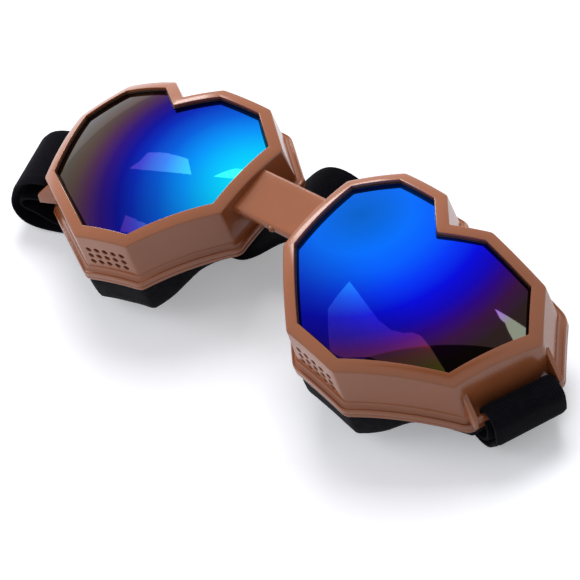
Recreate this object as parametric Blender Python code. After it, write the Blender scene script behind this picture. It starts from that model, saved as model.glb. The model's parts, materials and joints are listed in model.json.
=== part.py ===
"""Heart goggles: two moulded heart cups on a bendable nose bridge, with an elastic strap.

Rest frame: +X runs from the wearer's right cup to the left one as seen from the front,
+Y runs from the heart tips to the heart notches, and +Z points up out of the lenses.
The goggles lie on their backs, on the strap and the face foam, with the notch side raised.
Lengths are in metres.
"""
import functools
import math

import bmesh
import bpy
from mathutils import Matrix, Vector

# Running and seating gap between pieces that touch
CLEARANCE = 0.0003
# How far a cutter runs past the face that it cuts
CUT_OVERRUN = 0.0010

# Heart outline at the outer edge of the bezel, in the cup's own u, v plane
NOSE_HALF_WIDTH = 0.0385
TEMPLE_HALF_WIDTH = 0.0402
LOBE_HEIGHT = 0.0340
# Corners from the notch round the nose side to the tip, and back up the temple side.
# The u values are shares of the nose or the temple half width, v shares of the lobes' height.
NOTCH_V_SHARE = 0.776
NOSE_CORNER_SHARES = ((-0.257, 1.0), (-0.70, 0.953), (-1.0, 0.574), (-0.875, -0.265), (-0.281, -0.829))
TEMPLE_CORNER_SHARES = ((0.211, -0.829), (0.863, -0.229), (1.0, 0.591), (0.711, 0.985), (0.209, 1.0))
TIP_CORNERS = (5, 6)
TEMPLE_CORNERS = (7, 8)
CORNER_RADIUS = 0.0018
LEAST_CORNER_RADIUS = 0.0004
NOTCH_RADIUS = 0.0008
CORNER_STEPS = 2
# How much of the way from one corner to the next is counted as the round corner itself
CORNER_PLACE_SHARE = 0.02
EDGE_STEP_LENGTH = 0.0100

# The lens and the bezel follow one dome, flatter along the heart than across it
DOME_RADIUS_ACROSS = 0.0648
DOME_RADIUS_ALONG = 0.0702
DOME_APEX_U = -0.0109
DOME_APEX_V = 0.0013

# Housing section, outward from the outline and down from the dome
BEZEL_WIDTH = 0.0032
BEZEL_CROWN = 0.0002
BEZEL_CHAMFER = 0.0003
LIP_THICKNESS = 0.0009
WALL_THICKNESS = 0.0023
GROOVE_DEPTH = 0.0008
WALL_HEIGHT = 0.0142
WALL_FLARE = 0.0006
COVE_RADIUS = 0.0006
FLANGE_REACH = 0.0016
FLANGE_BEAD = 0.0004
FLANGE_THICKNESS = 0.0013

# Lens, and the rubber seal that holds its edge in the groove
LENS_THICKNESS = 0.0013
SEAL_THICKNESS = 0.0004
SEAL_COVER = 0.0005
LENS_RING_SHARES = (0.88, 0.65, 0.35)

# Vents through the tip wall
VENT_COLUMNS = 5
VENT_ROWS = 3
VENT_RADIUS = 0.00095
VENT_COLUMN_PITCH = 0.0031
VENT_ROW_PITCH = 0.0028
VENT_CENTRE_DEPTH = 0.0086
VENT_SIDES = 10

# Foam carrier ring under the flange, and the face foam
CARRIER_THICKNESS = 0.0012
CARRIER_WIDTH = 0.0088
FOAM_INSET = 0.0026
FOAM_WIDTH = 0.0080
FOAM_DEPTH = 0.0100
FOAM_ROUND = 0.0016
# Places along the corners of the outline, each with the share of the foam's depth there
FOAM_DEPTH_SHARES = ((0, 0.65), (2, 0.6), (3.5, 0.45), (4.4, 0.5), (5, 1.0), (6, 0.95), (6.5, 0.5),
                     (7, 0.8), (8, 0.8), (9, 0.7), (11, 0.65))

# Strap bracket on the temple wall: two arms and the bar between them
ARM_THICKNESS = 0.0014
ARM_ROOT_TOP = 0.0036
ARM_ROOT_BOTTOM = 0.0136
BAR_RADIUS = 0.0012
BAR_REACH = 0.0047
BAR_DEPTH = 0.0120
BAR_SIDES = 12
ARM_TIP_RADIUS = 0.0016
ARM_TIP_STEPS = 5

# Nose bridge plate, whose round ends follow the nose walls of the cups
NOSE_CORNERS = (3, 4)
BRIDGE_WIDTH = 0.0160
BRIDGE_THICKNESS = 0.0026
BRIDGE_CENTRE_Y = 0.0135
BRIDGE_EDGE_ROUND = 0.0008
BRIDGE_END_STEPS = 6
GATE_RADIUS = 0.0009
GATE_HEIGHT = 0.0008
GATE_SIDES = 12

# How the cups stand to the bridge, and how the pair lies
CUP_HALF_SPACING = 0.0468
CUP_OFFSET_Y = 0.0039
CUP_CROWN_HEIGHT = 0.0090
CUP_WRAP = math.radians(-0.9)
CUP_TOE = math.radians(-10.2)
REST_TILT = math.radians(8.7)

# Elastic strap, from the sewn loop on the right bar to the doubled loop on the left one
STRAP_WIDTH = 0.0250
STRAP_THICKNESS = 0.0015
STRAP_EDGE = 0.0004
STRAP_STEP = 0.0040
# How far inward from the bars the loops end, and where their lower layers reach the table
STRAP_JOIN_REACH = 0.0140
STRAP_FLAT_REACH = 0.0100
# The run under the bridge: where its middle lies, and the arch that it makes there
STRAP_MIDDLE_Y = 0.0300
STRAP_ARCH_HEIGHT = 0.0240
STRAP_ARCH_X = 0.0340
STRAP_ARCH_TWIST = 0.0060
# How many degrees the inner layer of either loop stays on the bar below its inner side
SLOT_WRAP = 45
# Right loop, drawn outward and upward from the bar's axis: the places that steer its curve,
# as shares of its bulge, of its drop below the bar, and of the radius of a layer on the bar
RIGHT_BULGE = 0.0054
RIGHT_DROP = 0.0078
RIGHT_SHOULDER_DROP = 0.0015
RIGHT_TOP_SHARES = ((0.55, 1.1), (1.0, 0.8))
RIGHT_BEND_SHARES = ((1.0, 0.8), (0.9, 1.0), (0.6, 1.08))
RIGHT_FOOT_SHARES = (0.36, 1.2)
# Where the inner layer turns up towards the bar, as shares of the radius of a layer on the bar
RIGHT_RISE_SHARES = (0.6, 0.55, 2.0)
# Left loop: reach of its outer and inner layers, the slack over the bar, and the same kind of
# places, as shares of the bulge and of the bar's height over the strap on the table
LEFT_BULGE = 0.0134
LEFT_SLACK = 0.0024
LEFT_FOOT_SHARES = ((0.0, 1.0), (0.55, 1.0), (0.8, 0.8))
LEFT_SIDE_SHARES = ((1.02, 0.62), (1.03, 0.35), (0.88, 0.12))
LEFT_TOP_SHARES = ((0.7, 0.75), (0.4, 1.0))
LEFT_ENTRY_SHARES = (0.7, 0.6)
INNER_BULGE = 0.0096
INNER_TOP_SHARES = ((0.0, 1.35), (0.5, 1.0), (0.8, 1.3), (1.12, 1.5))
INNER_FOLD_SHARES = ((1.1, 0.42), (0.8, 0.46), (0.3, 0.59))
LOOP_STEPS = 7

# Slider on the doubled stretch of the strap, and the hem sewn round it
SLIDER_X = -0.0470
SLIDER_LENGTH = 0.0080
SLIDER_WALL = 0.0014
SLIDER_SIDE_ROOM = 0.0008
SLIDER_TRAVEL = 0.0080
HEM_LENGTH = 0.0120


def clear_scene():
    """Removes the start-up objects."""
    for item in list(bpy.data.objects):
        bpy.data.objects.remove(item, do_unlink=True)


def make_material(name, colour, roughness, metallic=0.0, alpha=1.0):
    material = bpy.data.materials.new(name)
    material.use_nodes = True
    shader = material.node_tree.nodes["Principled BSDF"]
    shader.inputs["Base Color"].default_value = (*colour, 1.0)
    shader.inputs["Roughness"].default_value = roughness
    shader.inputs["Metallic"].default_value = metallic
    shader.inputs["Alpha"].default_value = alpha
    return material


def object_from_bmesh(name, bm, material, parent, matrix):
    """Makes a node from a closed bmesh, with its faces turned outward."""
    bmesh.ops.recalc_face_normals(bm, faces=bm.faces)
    mesh = bpy.data.meshes.new(name)
    bm.to_mesh(mesh)
    bm.free()
    mesh.shade_smooth()
    mesh.set_sharp_from_angle(angle=math.radians(35))
    item = bpy.data.objects.new(name, mesh)
    bpy.context.scene.collection.objects.link(item)
    item.parent = parent
    item.matrix_local = matrix
    if material is not None:
        mesh.materials.append(material)
    return item


def make_empty(name, parent, matrix):
    item = bpy.data.objects.new(name, None)
    bpy.context.scene.collection.objects.link(item)
    item.parent = parent
    item.matrix_local = matrix
    return item


def cut_or_join(target, tool, operation):
    """Applies an exact boolean with a hidden tool object and deletes the tool."""
    tool.hide_render = True
    tool.display_type = "WIRE"
    modifier = target.modifiers.new(operation.lower(), "BOOLEAN")
    modifier.operation = operation
    modifier.solver = "EXACT"
    modifier.object = tool
    bpy.context.view_layer.update()
    graph = bpy.context.evaluated_depsgraph_get()
    result = bpy.data.meshes.new_from_object(target.evaluated_get(graph))
    target.modifiers.clear()
    old = target.data
    target.data = result
    bpy.data.meshes.remove(old)
    bpy.data.objects.remove(tool, do_unlink=True)
    result.shade_smooth()
    result.set_sharp_from_angle(angle=math.radians(35))


# Heart outline

def outline_corners():
    """The eleven corners of the heart at the bezel's outer edge."""
    corners = [Vector((0, NOTCH_V_SHARE * LOBE_HEIGHT))]
    for u_share, v_share in NOSE_CORNER_SHARES:
        corners.append(Vector((u_share * NOSE_HALF_WIDTH, v_share * LOBE_HEIGHT)))
    for u_share, v_share in TEMPLE_CORNER_SHARES:
        corners.append(Vector((u_share * TEMPLE_HALF_WIDTH, v_share * LOBE_HEIGHT)))
    return corners


def outward(direction):
    """The outward normal of an edge, for an outline that runs round to the left."""
    return Vector((direction.y, -direction.x))


def offset_corners(distance):
    """The outline's corners moved outward by a distance, with every edge kept parallel."""
    corners = outline_corners()
    moved = []
    for index, corner in enumerate(corners):
        before = (corner - corners[index - 1]).normalized()
        after = (corners[(index + 1) % len(corners)] - corner).normalized()
        normal_a = outward(before)
        normal_b = outward(after)
        moved.append(corner + (normal_a + normal_b) * distance / (1 + normal_a.dot(normal_b)))
    return moved


def outline_loop(distance):
    """Points round the heart at one offset, each with its place along the corners.

    Every loop has the same number of points, so loops at different offsets join face to face.
    """
    corners = offset_corners(distance)
    base = outline_corners()
    count = len(corners)
    radius_out = max(CORNER_RADIUS + distance, LEAST_CORNER_RADIUS)
    arcs = []
    for index, corner in enumerate(corners):
        before = (corner - corners[index - 1]).normalized()
        after = (corners[(index + 1) % count] - corner).normalized()
        turn = before.angle_signed(after)
        convex = outward(before).dot(after) < 0
        radius = radius_out if convex else NOTCH_RADIUS
        reach = radius * math.tan(abs(turn) / 2)
        start = corner - before * reach
        side = -1 if convex else 1
        centre = start + outward(before) * radius * side
        points = []
        for step in range(CORNER_STEPS + 1):
            angle = -turn * step / CORNER_STEPS
            spoke = start - centre
            turned = Vector((spoke.x * math.cos(angle) - spoke.y * math.sin(angle),
                             spoke.x * math.sin(angle) + spoke.y * math.cos(angle)))
            points.append(centre + turned)
        arcs.append(points)
    loop = []
    for index, arc in enumerate(arcs):
        for step, point in enumerate(arc):
            loop.append((point, index + (step / CORNER_STEPS - 1 / 2) * CORNER_PLACE_SHARE))
        following = arcs[(index + 1) % count]
        length = (base[(index + 1) % count] - base[index]).length
        pieces = max(2, round(length / EDGE_STEP_LENGTH))
        for step in range(1, pieces):
            share = step / pieces
            loop.append((arc[-1].lerp(following[0], share), index + share))
    return loop


def dome(u, v):
    """Height of the lens dome, measured down from its crown."""
    across = (u - DOME_APEX_U) ** 2 / (2 * DOME_RADIUS_ACROSS)
    along = (v - DOME_APEX_V) ** 2 / (2 * DOME_RADIUS_ALONG)
    return -across - along


def dome_loop(side, distance, depth, extra=None):
    """One loop of the cup: an offset of the heart, laid on the dome at a depth below it."""
    places = []
    for point, corner in outline_loop(distance):
        drop = depth if extra is None else depth + extra(corner)
        places.append(Vector((side * point.x, point.y, dome(point.x, point.y) - drop)))
    return places


def ring_bmesh(loops):
    """Joins closed loops, and the last to the first, into a closed ring."""
    bm = bmesh.new()
    rows = [[bm.verts.new(place) for place in loop] for loop in loops]
    for row, following in zip(rows, rows[1:] + rows[:1]):
        for index in range(len(row)):
            after = (index + 1) % len(row)
            bm.faces.new((row[index], row[after], following[after], following[index]))
    return bm


def section_ring(side, section):
    """A ring whose section is a closed list of outward and downward steps."""
    return ring_bmesh([dome_loop(side, distance, depth) for distance, depth in section])


# Levels below the dome, shared by the pieces that stack up

def levels():
    """Depths of the seats below the dome, from the front to the back."""
    groove_top = LIP_THICKNESS
    seal_top = groove_top + CLEARANCE
    lens_top = seal_top + SEAL_THICKNESS + CLEARANCE
    lens_bottom = lens_top + LENS_THICKNESS
    seal_bottom = lens_bottom + CLEARANCE + SEAL_THICKNESS
    groove_bottom = seal_bottom + CLEARANCE
    flange_top = WALL_HEIGHT + COVE_RADIUS
    flange_bottom = flange_top + FLANGE_THICKNESS
    carrier_top = flange_bottom + CLEARANCE
    carrier_bottom = carrier_top + CARRIER_THICKNESS
    foam_top = carrier_bottom + CLEARANCE
    return {"groove_top": groove_top, "seal_top": seal_top, "lens_top": lens_top,
            "lens_bottom": lens_bottom, "seal_bottom": seal_bottom, "groove_bottom": groove_bottom,
            "flange_top": flange_top, "flange_bottom": flange_bottom, "carrier_top": carrier_top,
            "carrier_bottom": carrier_bottom, "foam_top": foam_top}


def housing_section():
    """The housing's section: bezel, chamfer, flared wall, cove, flange and the lens groove inside."""
    level = levels()
    foot = WALL_FLARE
    reach = WALL_FLARE + FLANGE_REACH
    inner = -WALL_THICKNESS
    groove_back = inner + GROOVE_DEPTH
    return [
        (-BEZEL_WIDTH, 0),
        (-BEZEL_WIDTH / 2, -BEZEL_CROWN),
        (-BEZEL_CHAMFER, 0),
        (0, BEZEL_CHAMFER),
        (foot, WALL_HEIGHT),
        (foot + COVE_RADIUS, level["flange_top"]),
        (reach - FLANGE_BEAD, level["flange_top"]),
        (reach, level["flange_top"] - FLANGE_BEAD),
        (reach + FLANGE_BEAD, level["flange_top"]),
        (reach + FLANGE_BEAD, level["flange_bottom"]),
        (foot - WALL_THICKNESS, level["flange_bottom"]),
        (inner, level["groove_bottom"]),
        (groove_back, level["groove_bottom"]),
        (groove_back, level["groove_top"]),
        (-BEZEL_WIDTH, level["groove_top"]),
    ]


def edge_frame(side, pair):
    """Middle, direction and outward normal of one edge of the heart, in the cup's u, v plane."""
    corners = outline_corners()
    start, end = corners[pair[0]], corners[pair[1]]
    direction = (end - start).normalized()
    normal = outward(direction)
    middle = (start + end) / 2
    return (Vector((side * middle.x, middle.y)), Vector((side * direction.x, direction.y)),
            Vector((side * normal.x, normal.y)), (end - start).length)


def bar_ends(side):
    """The two ends of the strap bar's axis, in the cup's frame."""
    corners = outline_corners()
    normal = edge_frame(side, TEMPLE_CORNERS)[2]
    ends = []
    for index in TEMPLE_CORNERS:
        corner = corners[index]
        top = Vector((side * corner.x, corner.y, dome(corner.x, corner.y)))
        ends.append(top + Vector((normal.x * BAR_REACH, normal.y * BAR_REACH, -BAR_DEPTH)))
    return ends


def bar_frame(side):
    """Middle of the bar with its unit axis, outward and upward directions, in the cup's frame."""
    low, high = bar_ends(side)
    axis = (high - low).normalized()
    normal = edge_frame(side, TEMPLE_CORNERS)[2]
    out = Vector((normal.x, normal.y, 0))
    out = (out - axis * out.dot(axis)).normalized()
    up = out.cross(axis) * side
    return (low + high) / 2, axis, out, up


def arm_bmesh(side, end):
    """One bracket arm: a tapered plate with a round tip at the bar, extruded along the bar."""
    middle, axis, out, up = bar_frame(side)
    gap = STRAP_WIDTH / 2 + 2 * CLEARANCE
    root = -BAR_REACH - WALL_THICKNESS / 2
    outline = [(root, BAR_DEPTH - ARM_ROOT_TOP)]
    for step in range(ARM_TIP_STEPS + 1):
        angle = math.pi / 2 - math.pi * step / ARM_TIP_STEPS
        outline.append((ARM_TIP_RADIUS * math.cos(angle), ARM_TIP_RADIUS * math.sin(angle)))
    outline.append((root, BAR_DEPTH - ARM_ROOT_BOTTOM))
    bm = bmesh.new()
    rows = []
    for distance in (gap, gap + ARM_THICKNESS):
        rows.append([bm.verts.new(middle + axis * end * distance + out * o + up * h) for o, h in outline])
    bm.faces.new(rows[0])
    bm.faces.new(rows[1])
    for index in range(len(outline)):
        after = (index + 1) % len(outline)
        bm.faces.new((rows[0][index], rows[0][after], rows[1][after], rows[1][index]))
    return bm


def cylinder_bmesh(start, end, radius, sides):
    """A closed cylinder between two points."""
    axis = end - start
    bm = bmesh.new()
    turn = axis.to_track_quat("Z", "Y").to_matrix().to_4x4()
    matrix = Matrix.Translation((start + end) / 2) @ turn
    bmesh.ops.create_cone(bm, cap_ends=True, segments=sides, radius1=radius, radius2=radius,
                          depth=axis.length, matrix=matrix)
    return bm


def add_bracket(housing, side, place):
    """Joins the two arms and the bar to the temple wall."""
    middle, axis, _, _ = bar_frame(side)
    reach = STRAP_WIDTH / 2 + 2 * CLEARANCE + ARM_THICKNESS / 2
    for end in (-1, 1):
        arm = object_from_bmesh("arm_tool", arm_bmesh(side, end), None, housing.parent, place)
        cut_or_join(housing, arm, "UNION")
    bar = cylinder_bmesh(middle - axis * reach, middle + axis * reach, BAR_RADIUS, BAR_SIDES)
    tool = object_from_bmesh("bar_tool", bar, None, housing.parent, place)
    cut_or_join(housing, tool, "UNION")


def cut_vents(housing, side, place):
    """Cuts the grid of round vents through the tip wall."""
    middle, direction, normal, _ = edge_frame(side, TIP_CORNERS)
    bm = bmesh.new()
    across = Vector((direction.x, direction.y, 0))
    out = Vector((normal.x, normal.y, 0))
    inward_reach = WALL_THICKNESS + CUT_OVERRUN
    outward_reach = WALL_FLARE + CUT_OVERRUN
    for row in range(VENT_ROWS):
        depth = VENT_CENTRE_DEPTH + (row - (VENT_ROWS - 1) / 2) * VENT_ROW_PITCH
        for column in range(VENT_COLUMNS):
            shift = (column - (VENT_COLUMNS - 1) / 2) * VENT_COLUMN_PITCH
            centre = Vector((middle.x, middle.y, 0)) + across * shift
            centre.z = dome(side * centre.x, centre.y) - depth
            hole = cylinder_bmesh(centre - out * inward_reach, centre + out * outward_reach,
                                  VENT_RADIUS, VENT_SIDES)
            mesh = bpy.data.meshes.new("vent")
            hole.to_mesh(mesh)
            hole.free()
            bm.from_mesh(mesh)
            bpy.data.meshes.remove(mesh)
    tool = object_from_bmesh("vent_tool", bm, None, housing.parent, place)
    cut_or_join(housing, tool, "DIFFERENCE")


def lens_bmesh(side):
    """A heart-shaped shell of even thickness that follows the dome."""
    level = levels()
    edge = -(WALL_THICKNESS - GROOVE_DEPTH + 2 * CLEARANCE + SEAL_THICKNESS)
    bm = bmesh.new()
    apex = Vector((DOME_APEX_U, DOME_APEX_V))
    fronts = []
    for depth in (level["lens_top"], level["lens_bottom"]):
        rings = []
        for share in (1.0, *LENS_RING_SHARES):
            row = []
            for point, _ in outline_loop(edge):
                place = apex.lerp(point, share)
                row.append(bm.verts.new((side * place.x, place.y, dome(place.x, place.y) - depth)))
            rings.append(row)
        centre = bm.verts.new((side * apex.x, apex.y, -depth))
        for row, following in zip(rings, rings[1:]):
            for index in range(len(row)):
                after = (index + 1) % len(row)
                bm.faces.new((row[index], row[after], following[after], following[index]))
        last = rings[-1]
        for index in range(len(last)):
            bm.faces.new((last[index], last[(index + 1) % len(last)], centre))
        fronts.append(rings[0])
    for index in range(len(fronts[0])):
        after = (index + 1) % len(fronts[0])
        bm.faces.new((fronts[0][index], fronts[0][after], fronts[1][after], fronts[1][index]))
    return bm


def seal_section():
    """A U section that grips the lens edge and fills the groove."""
    level = levels()
    back = -(WALL_THICKNESS - GROOVE_DEPTH + CLEARANCE)
    inside = back - SEAL_THICKNESS
    tip = -(BEZEL_WIDTH + SEAL_COVER)
    lens_top = level["lens_top"] - CLEARANCE
    lens_bottom = level["lens_bottom"] + CLEARANCE
    return [(tip, level["seal_top"]), (back, level["seal_top"]), (back, level["seal_bottom"]),
            (tip, level["seal_bottom"]), (tip, lens_bottom), (inside, lens_bottom),
            (inside, lens_top), (tip, lens_top)]


def carrier_section():
    level = levels()
    reach = WALL_FLARE + FLANGE_REACH + FLANGE_BEAD
    return [(reach - FLANGE_BEAD, level["carrier_top"]), (reach, level["carrier_top"] + FLANGE_BEAD),
            (reach, level["carrier_bottom"]), (reach - CARRIER_WIDTH, level["carrier_bottom"]),
            (reach - CARRIER_WIDTH, level["carrier_top"])]


def foam_depth(corner):
    """Depth of the foam at a place along the corners."""
    place = corner % FOAM_DEPTH_SHARES[-1][0]
    for (start, low), (end, high) in zip(FOAM_DEPTH_SHARES, FOAM_DEPTH_SHARES[1:]):
        if place <= end:
            share = (place - start) / (end - start)
            ease = share * share * (3 - 2 * share)
            return FOAM_DEPTH * (low + (high - low) * ease)
    return FOAM_DEPTH


def foam_loops(side):
    """The face foam: even on top, with a rounded foot whose depth follows the face."""
    top = levels()["foam_top"]
    outer = WALL_FLARE + FLANGE_REACH + FLANGE_BEAD - FOAM_INSET
    inner = outer - FOAM_WIDTH
    flat = [(outer, 0, False), (outer, -FOAM_ROUND, True), (outer - FOAM_ROUND, 0, True),
            (inner + FOAM_ROUND, 0, True), (inner, -FOAM_ROUND, True), (inner, 0, False)]
    loops = []
    for distance, shift, foot in flat:
        loops.append(dome_loop(side, distance, top + shift, foam_depth if foot else None))
    return loops


# Placing

def cup_matrix(side):
    """The cup's frame in the bridge's frame: its crown's place, its wrap and its toe."""
    place = Matrix.Translation((side * CUP_HALF_SPACING, CUP_OFFSET_Y, CUP_CROWN_HEIGHT))
    return place @ Matrix.Rotation(side * CUP_WRAP, 4, "Y") @ Matrix.Rotation(side * CUP_TOE, 4, "Z")


@functools.cache
def rest_matrix():
    """The bridge's frame as the pair lies, with the lowest foam on two layers of strap."""
    tilt = Matrix.Rotation(REST_TILT, 4, "X")
    lowest = min((tilt @ cup_matrix(1) @ place).z for loop in foam_loops(1) for place in loop)
    height = 2 * (STRAP_THICKNESS + CLEARANCE) - lowest
    return Matrix.Translation((0, 0, height)) @ tilt


@functools.cache
def hinge_ends():
    """Where the right cup bends on the bridge: the axis of the plate's round end.

    It runs parallel to the nose wall, in the middle of the plate's thickness.
    """
    corners = outline_corners()
    normal = edge_frame(1, NOSE_CORNERS)[2]
    crossings = []
    for index in NOSE_CORNERS:
        corner = corners[index]
        top = Vector((corner.x, corner.y, dome(corner.x, corner.y)))
        foot = top + Vector((normal.x * WALL_FLARE, normal.y * WALL_FLARE, -WALL_HEIGHT))
        top = cup_matrix(1) @ top
        foot = cup_matrix(1) @ foot
        crossings.append(top.lerp(foot, top.z / (top.z - foot.z)))
    low, high = sorted(crossings, key=lambda place: place.y)
    inset = Vector((-(BRIDGE_THICKNESS / 2 + CLEARANCE), 0, 0))
    ends = []
    for y in (BRIDGE_CENTRE_Y - BRIDGE_WIDTH / 2, BRIDGE_CENTRE_Y + BRIDGE_WIDTH / 2):
        ends.append(low.lerp(high, (y - low.y) / (high.y - low.y)) + inset)
    return ends


def hinge_place(side):
    low, high = hinge_ends()
    middle = (low + high) / 2
    return Vector((side * middle.x, middle.y, middle.z))


# Strap routes

@functools.cache
def bar_at_rest(side):
    """Middle, axis and level outward direction of a strap bar, as the pair lies."""
    matrix = rest_matrix() @ cup_matrix(side)
    middle, axis, out, _ = bar_frame(side)
    axis = matrix.to_3x3() @ axis
    out = matrix.to_3x3() @ out
    return matrix @ middle, axis, Vector((out.x, out.y, 0)).normalized()


@functools.cache
def join_place(side):
    """Where a loop meets the run under the cup, in plan."""
    middle, _, out = bar_at_rest(side)
    return middle - out * STRAP_JOIN_REACH


def floor_route(x):
    """Centre and width direction of the strap on the table at one x.

    It leaves each bar square, bends evenly to the middle and arches up under the bridge.
    """
    join = join_place(1)
    out = bar_at_rest(1)[2]
    steep = out.y / out.x * join.x
    t = abs(x) / join.x
    y = STRAP_MIDDLE_Y * (2 * t ** 3 - 3 * t ** 2 + 1) + join.y * (3 * t ** 2 - 2 * t ** 3)
    y += steep * (t ** 3 - t ** 2)
    slope = (6 * (STRAP_MIDDLE_Y - join.y) * (t ** 2 - t) + steep * (3 * t ** 2 - 2 * t)) / join.x
    slope = math.copysign(1, x) * slope
    swell = math.cos(math.pi / 2 * abs(x) / STRAP_ARCH_X) ** 2 if abs(x) < STRAP_ARCH_X else 0
    ramp = SLIDER_LENGTH
    away = abs(x - SLIDER_X) - SLIDER_TRAVEL - SLIDER_LENGTH / 2
    share = 1 - min(max(away / ramp, 0), 1)
    lift = (SLIDER_WALL + CLEARANCE) * share * share * (3 - 2 * share)
    z = STRAP_THICKNESS / 2 + STRAP_ARCH_HEIGHT * swell + lift
    flat = Vector((-slope, 1, 0)).normalized()
    rise = STRAP_ARCH_TWIST * swell / (STRAP_WIDTH / 2)
    return Vector((x, y, z)), Vector((flat.x, flat.y, rise)).normalized()


def run_route(start, end, lift=0):
    """Stations of the strap on the table from one x to another, with a guide beyond each end."""
    count = max(2, round(abs(end - start) / STRAP_STEP))
    route = []
    for step in range(-1, count + 2):
        centre, width = floor_route(start + (end - start) * step / count)
        route.append((centre + Vector((0, 0, lift)), width))
    return route


def with_normals(route):
    """Adds the band's surface normal to each centre and width direction, and drops the guides."""
    stations = []
    for before, (centre, width), after in zip(route, route[1:], route[2:]):
        tangent = (after[0] - before[0]).normalized()
        flat = (width - tangent * width.dot(tangent)).normalized()
        stations.append((centre, flat, tangent.cross(flat).normalized()))
    return stations


def band_bmesh(route, half_width=STRAP_WIDTH / 2, thickness=STRAP_THICKNESS):
    """A flat band with eased edges, swept along a route of centres and width directions."""
    bm = bmesh.new()
    half = thickness / 2
    ease = STRAP_EDGE
    section = [(-half_width, -half + ease), (-half_width + ease, -half), (half_width - ease, -half),
               (half_width, -half + ease), (half_width, half - ease), (half_width - ease, half),
               (-half_width + ease, half), (-half_width, half - ease)]
    rows = []
    for centre, width, normal in with_normals(route):
        rows.append([bm.verts.new(centre + width * a + normal * b) for a, b in section])
    for row, following in zip(rows, rows[1:]):
        for index in range(len(row)):
            after = (index + 1) % len(row)
            bm.faces.new((row[index], row[after], following[after], following[index]))
    bm.faces.new(rows[0])
    bm.faces.new(rows[-1])
    return bm


def curve(points, steps=LOOP_STEPS):
    """Places along a cubic curve, without its last point."""
    a, b, c, d = (Vector(point) for point in points)
    places = []
    for step in range(steps):
        t = step / steps
        places.append(a * (1 - t) ** 3 + b * 3 * t * (1 - t) ** 2 + c * 3 * t * t * (1 - t) + d * t ** 3)
    return places


def bar_arc(radius, start, end, steps=LOOP_STEPS):
    """Places round the bar, without the last one."""
    places = []
    for step in range(steps):
        angle = math.radians(start + (end - start) * step / steps)
        places.append(Vector((radius * math.cos(angle), radius * math.sin(angle))))
    return places


def scaled(shares, outward_size, upward_size):
    """Places given as shares of an outward and an upward size."""
    return [Vector((out * outward_size, up * upward_size)) for out, up in shares]


def loop_route(side, places):
    """Stations of a loop drawn outward and upward from the bar.

    The width runs along the bar at the bar, and square to the run at the table.
    """
    middle, axis, out = bar_at_rest(side)
    level = Vector((-side * out.y, side * out.x, 0))
    guides = (2 * places[0] - places[1], 2 * places[-1] - places[-2])
    places = [guides[0], *places, guides[1]]
    route = []
    for place in places:
        share = min(max(-place.y / (middle.z - 3 * STRAP_THICKNESS), 0), 1)
        centre = middle + out * place.x + Vector((0, 0, place.y))
        route.append((centre, axis.lerp(level, share).normalized()))
    return route


def loop_levels():
    """Radius of a layer round the bar, and heights of the two layers on the table, from the bar."""
    ring = BAR_RADIUS + CLEARANCE + STRAP_THICKNESS / 2
    floor = STRAP_THICKNESS / 2 - bar_at_rest(1)[0].z
    return ring, floor, floor + STRAP_THICKNESS + CLEARANCE


def right_loop_places():
    """The sewn layer from the table up under the bar, round it, out, and back under to the table."""
    ring, floor, second = loop_levels()
    join = -STRAP_JOIN_REACH + CLEARANCE / 2
    flat = -STRAP_FLAT_REACH
    start = bar_arc(ring, 180 + SLOT_WRAP, 90)[0]
    shoulder = Vector((RIGHT_BULGE, -RIGHT_SHOULDER_DROP))
    top = scaled(RIGHT_TOP_SHARES, RIGHT_BULGE, ring)
    bend = scaled(RIGHT_BEND_SHARES, RIGHT_BULGE, -RIGHT_DROP)
    foot = Vector((RIGHT_BULGE * RIGHT_FOOT_SHARES[0], -RIGHT_DROP * RIGHT_FOOT_SHARES[1]))
    corner, entry, below = (share * ring for share in RIGHT_RISE_SHARES)
    places = [Vector((join, second))]
    places += curve([(flat, second), (corner, second), (entry, -below), start])
    places += bar_arc(ring, 180 + SLOT_WRAP, 90)
    places += curve([(0, ring), *top, shoulder])
    places += curve([shoulder, *bend])
    places += curve([bend[-1], foot, (0, floor), (flat, floor)])
    places += [Vector((flat, floor)), Vector((join, floor))]
    return places


def left_loop_places():
    """The outer layer from the table out and over the bar with some slack, and the inner one back."""
    ring, floor, second = loop_levels()
    join = -STRAP_JOIN_REACH + CLEARANCE / 2
    flat = -STRAP_FLAT_REACH
    top = ring + LEFT_SLACK
    foot = scaled(LEFT_FOOT_SHARES, LEFT_BULGE, floor)
    side = scaled(LEFT_SIDE_SHARES, LEFT_BULGE, floor)
    over = scaled(LEFT_TOP_SHARES, LEFT_BULGE, top)
    crest = Vector((ring / 2, top))
    wrapped = bar_arc(ring, 180 + SLOT_WRAP, 90)[0]
    back = scaled(INNER_TOP_SHARES, INNER_BULGE, -ring)
    fold = scaled(INNER_FOLD_SHARES, INNER_BULGE, floor)
    places = [Vector((join, floor))]
    places += curve([(flat, floor), *foot])
    places += curve([foot[-1], *side])
    places += curve([side[-1], *over, crest])
    entry = (-ring * LEFT_ENTRY_SHARES[0], top)
    places += curve([crest, entry, (-ring, top * LEFT_ENTRY_SHARES[1]), (-ring, 0)])
    places += bar_arc(ring, 180, 180 + SLOT_WRAP, LOOP_STEPS // 2)
    places += curve([wrapped, *back[:3]])
    places += curve([back[2], back[3], *fold[:2]])
    places += curve([fold[1], fold[2], (0, second), (flat, second)])
    places += [Vector((flat, second)), Vector((join, second))]
    return places


def slider_frame():
    """Middle of the slider, its direction along the strap and its width direction."""
    centre, width = floor_route(SLIDER_X)
    along = Vector((width.y, -width.x, 0))
    return centre, along, width


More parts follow.
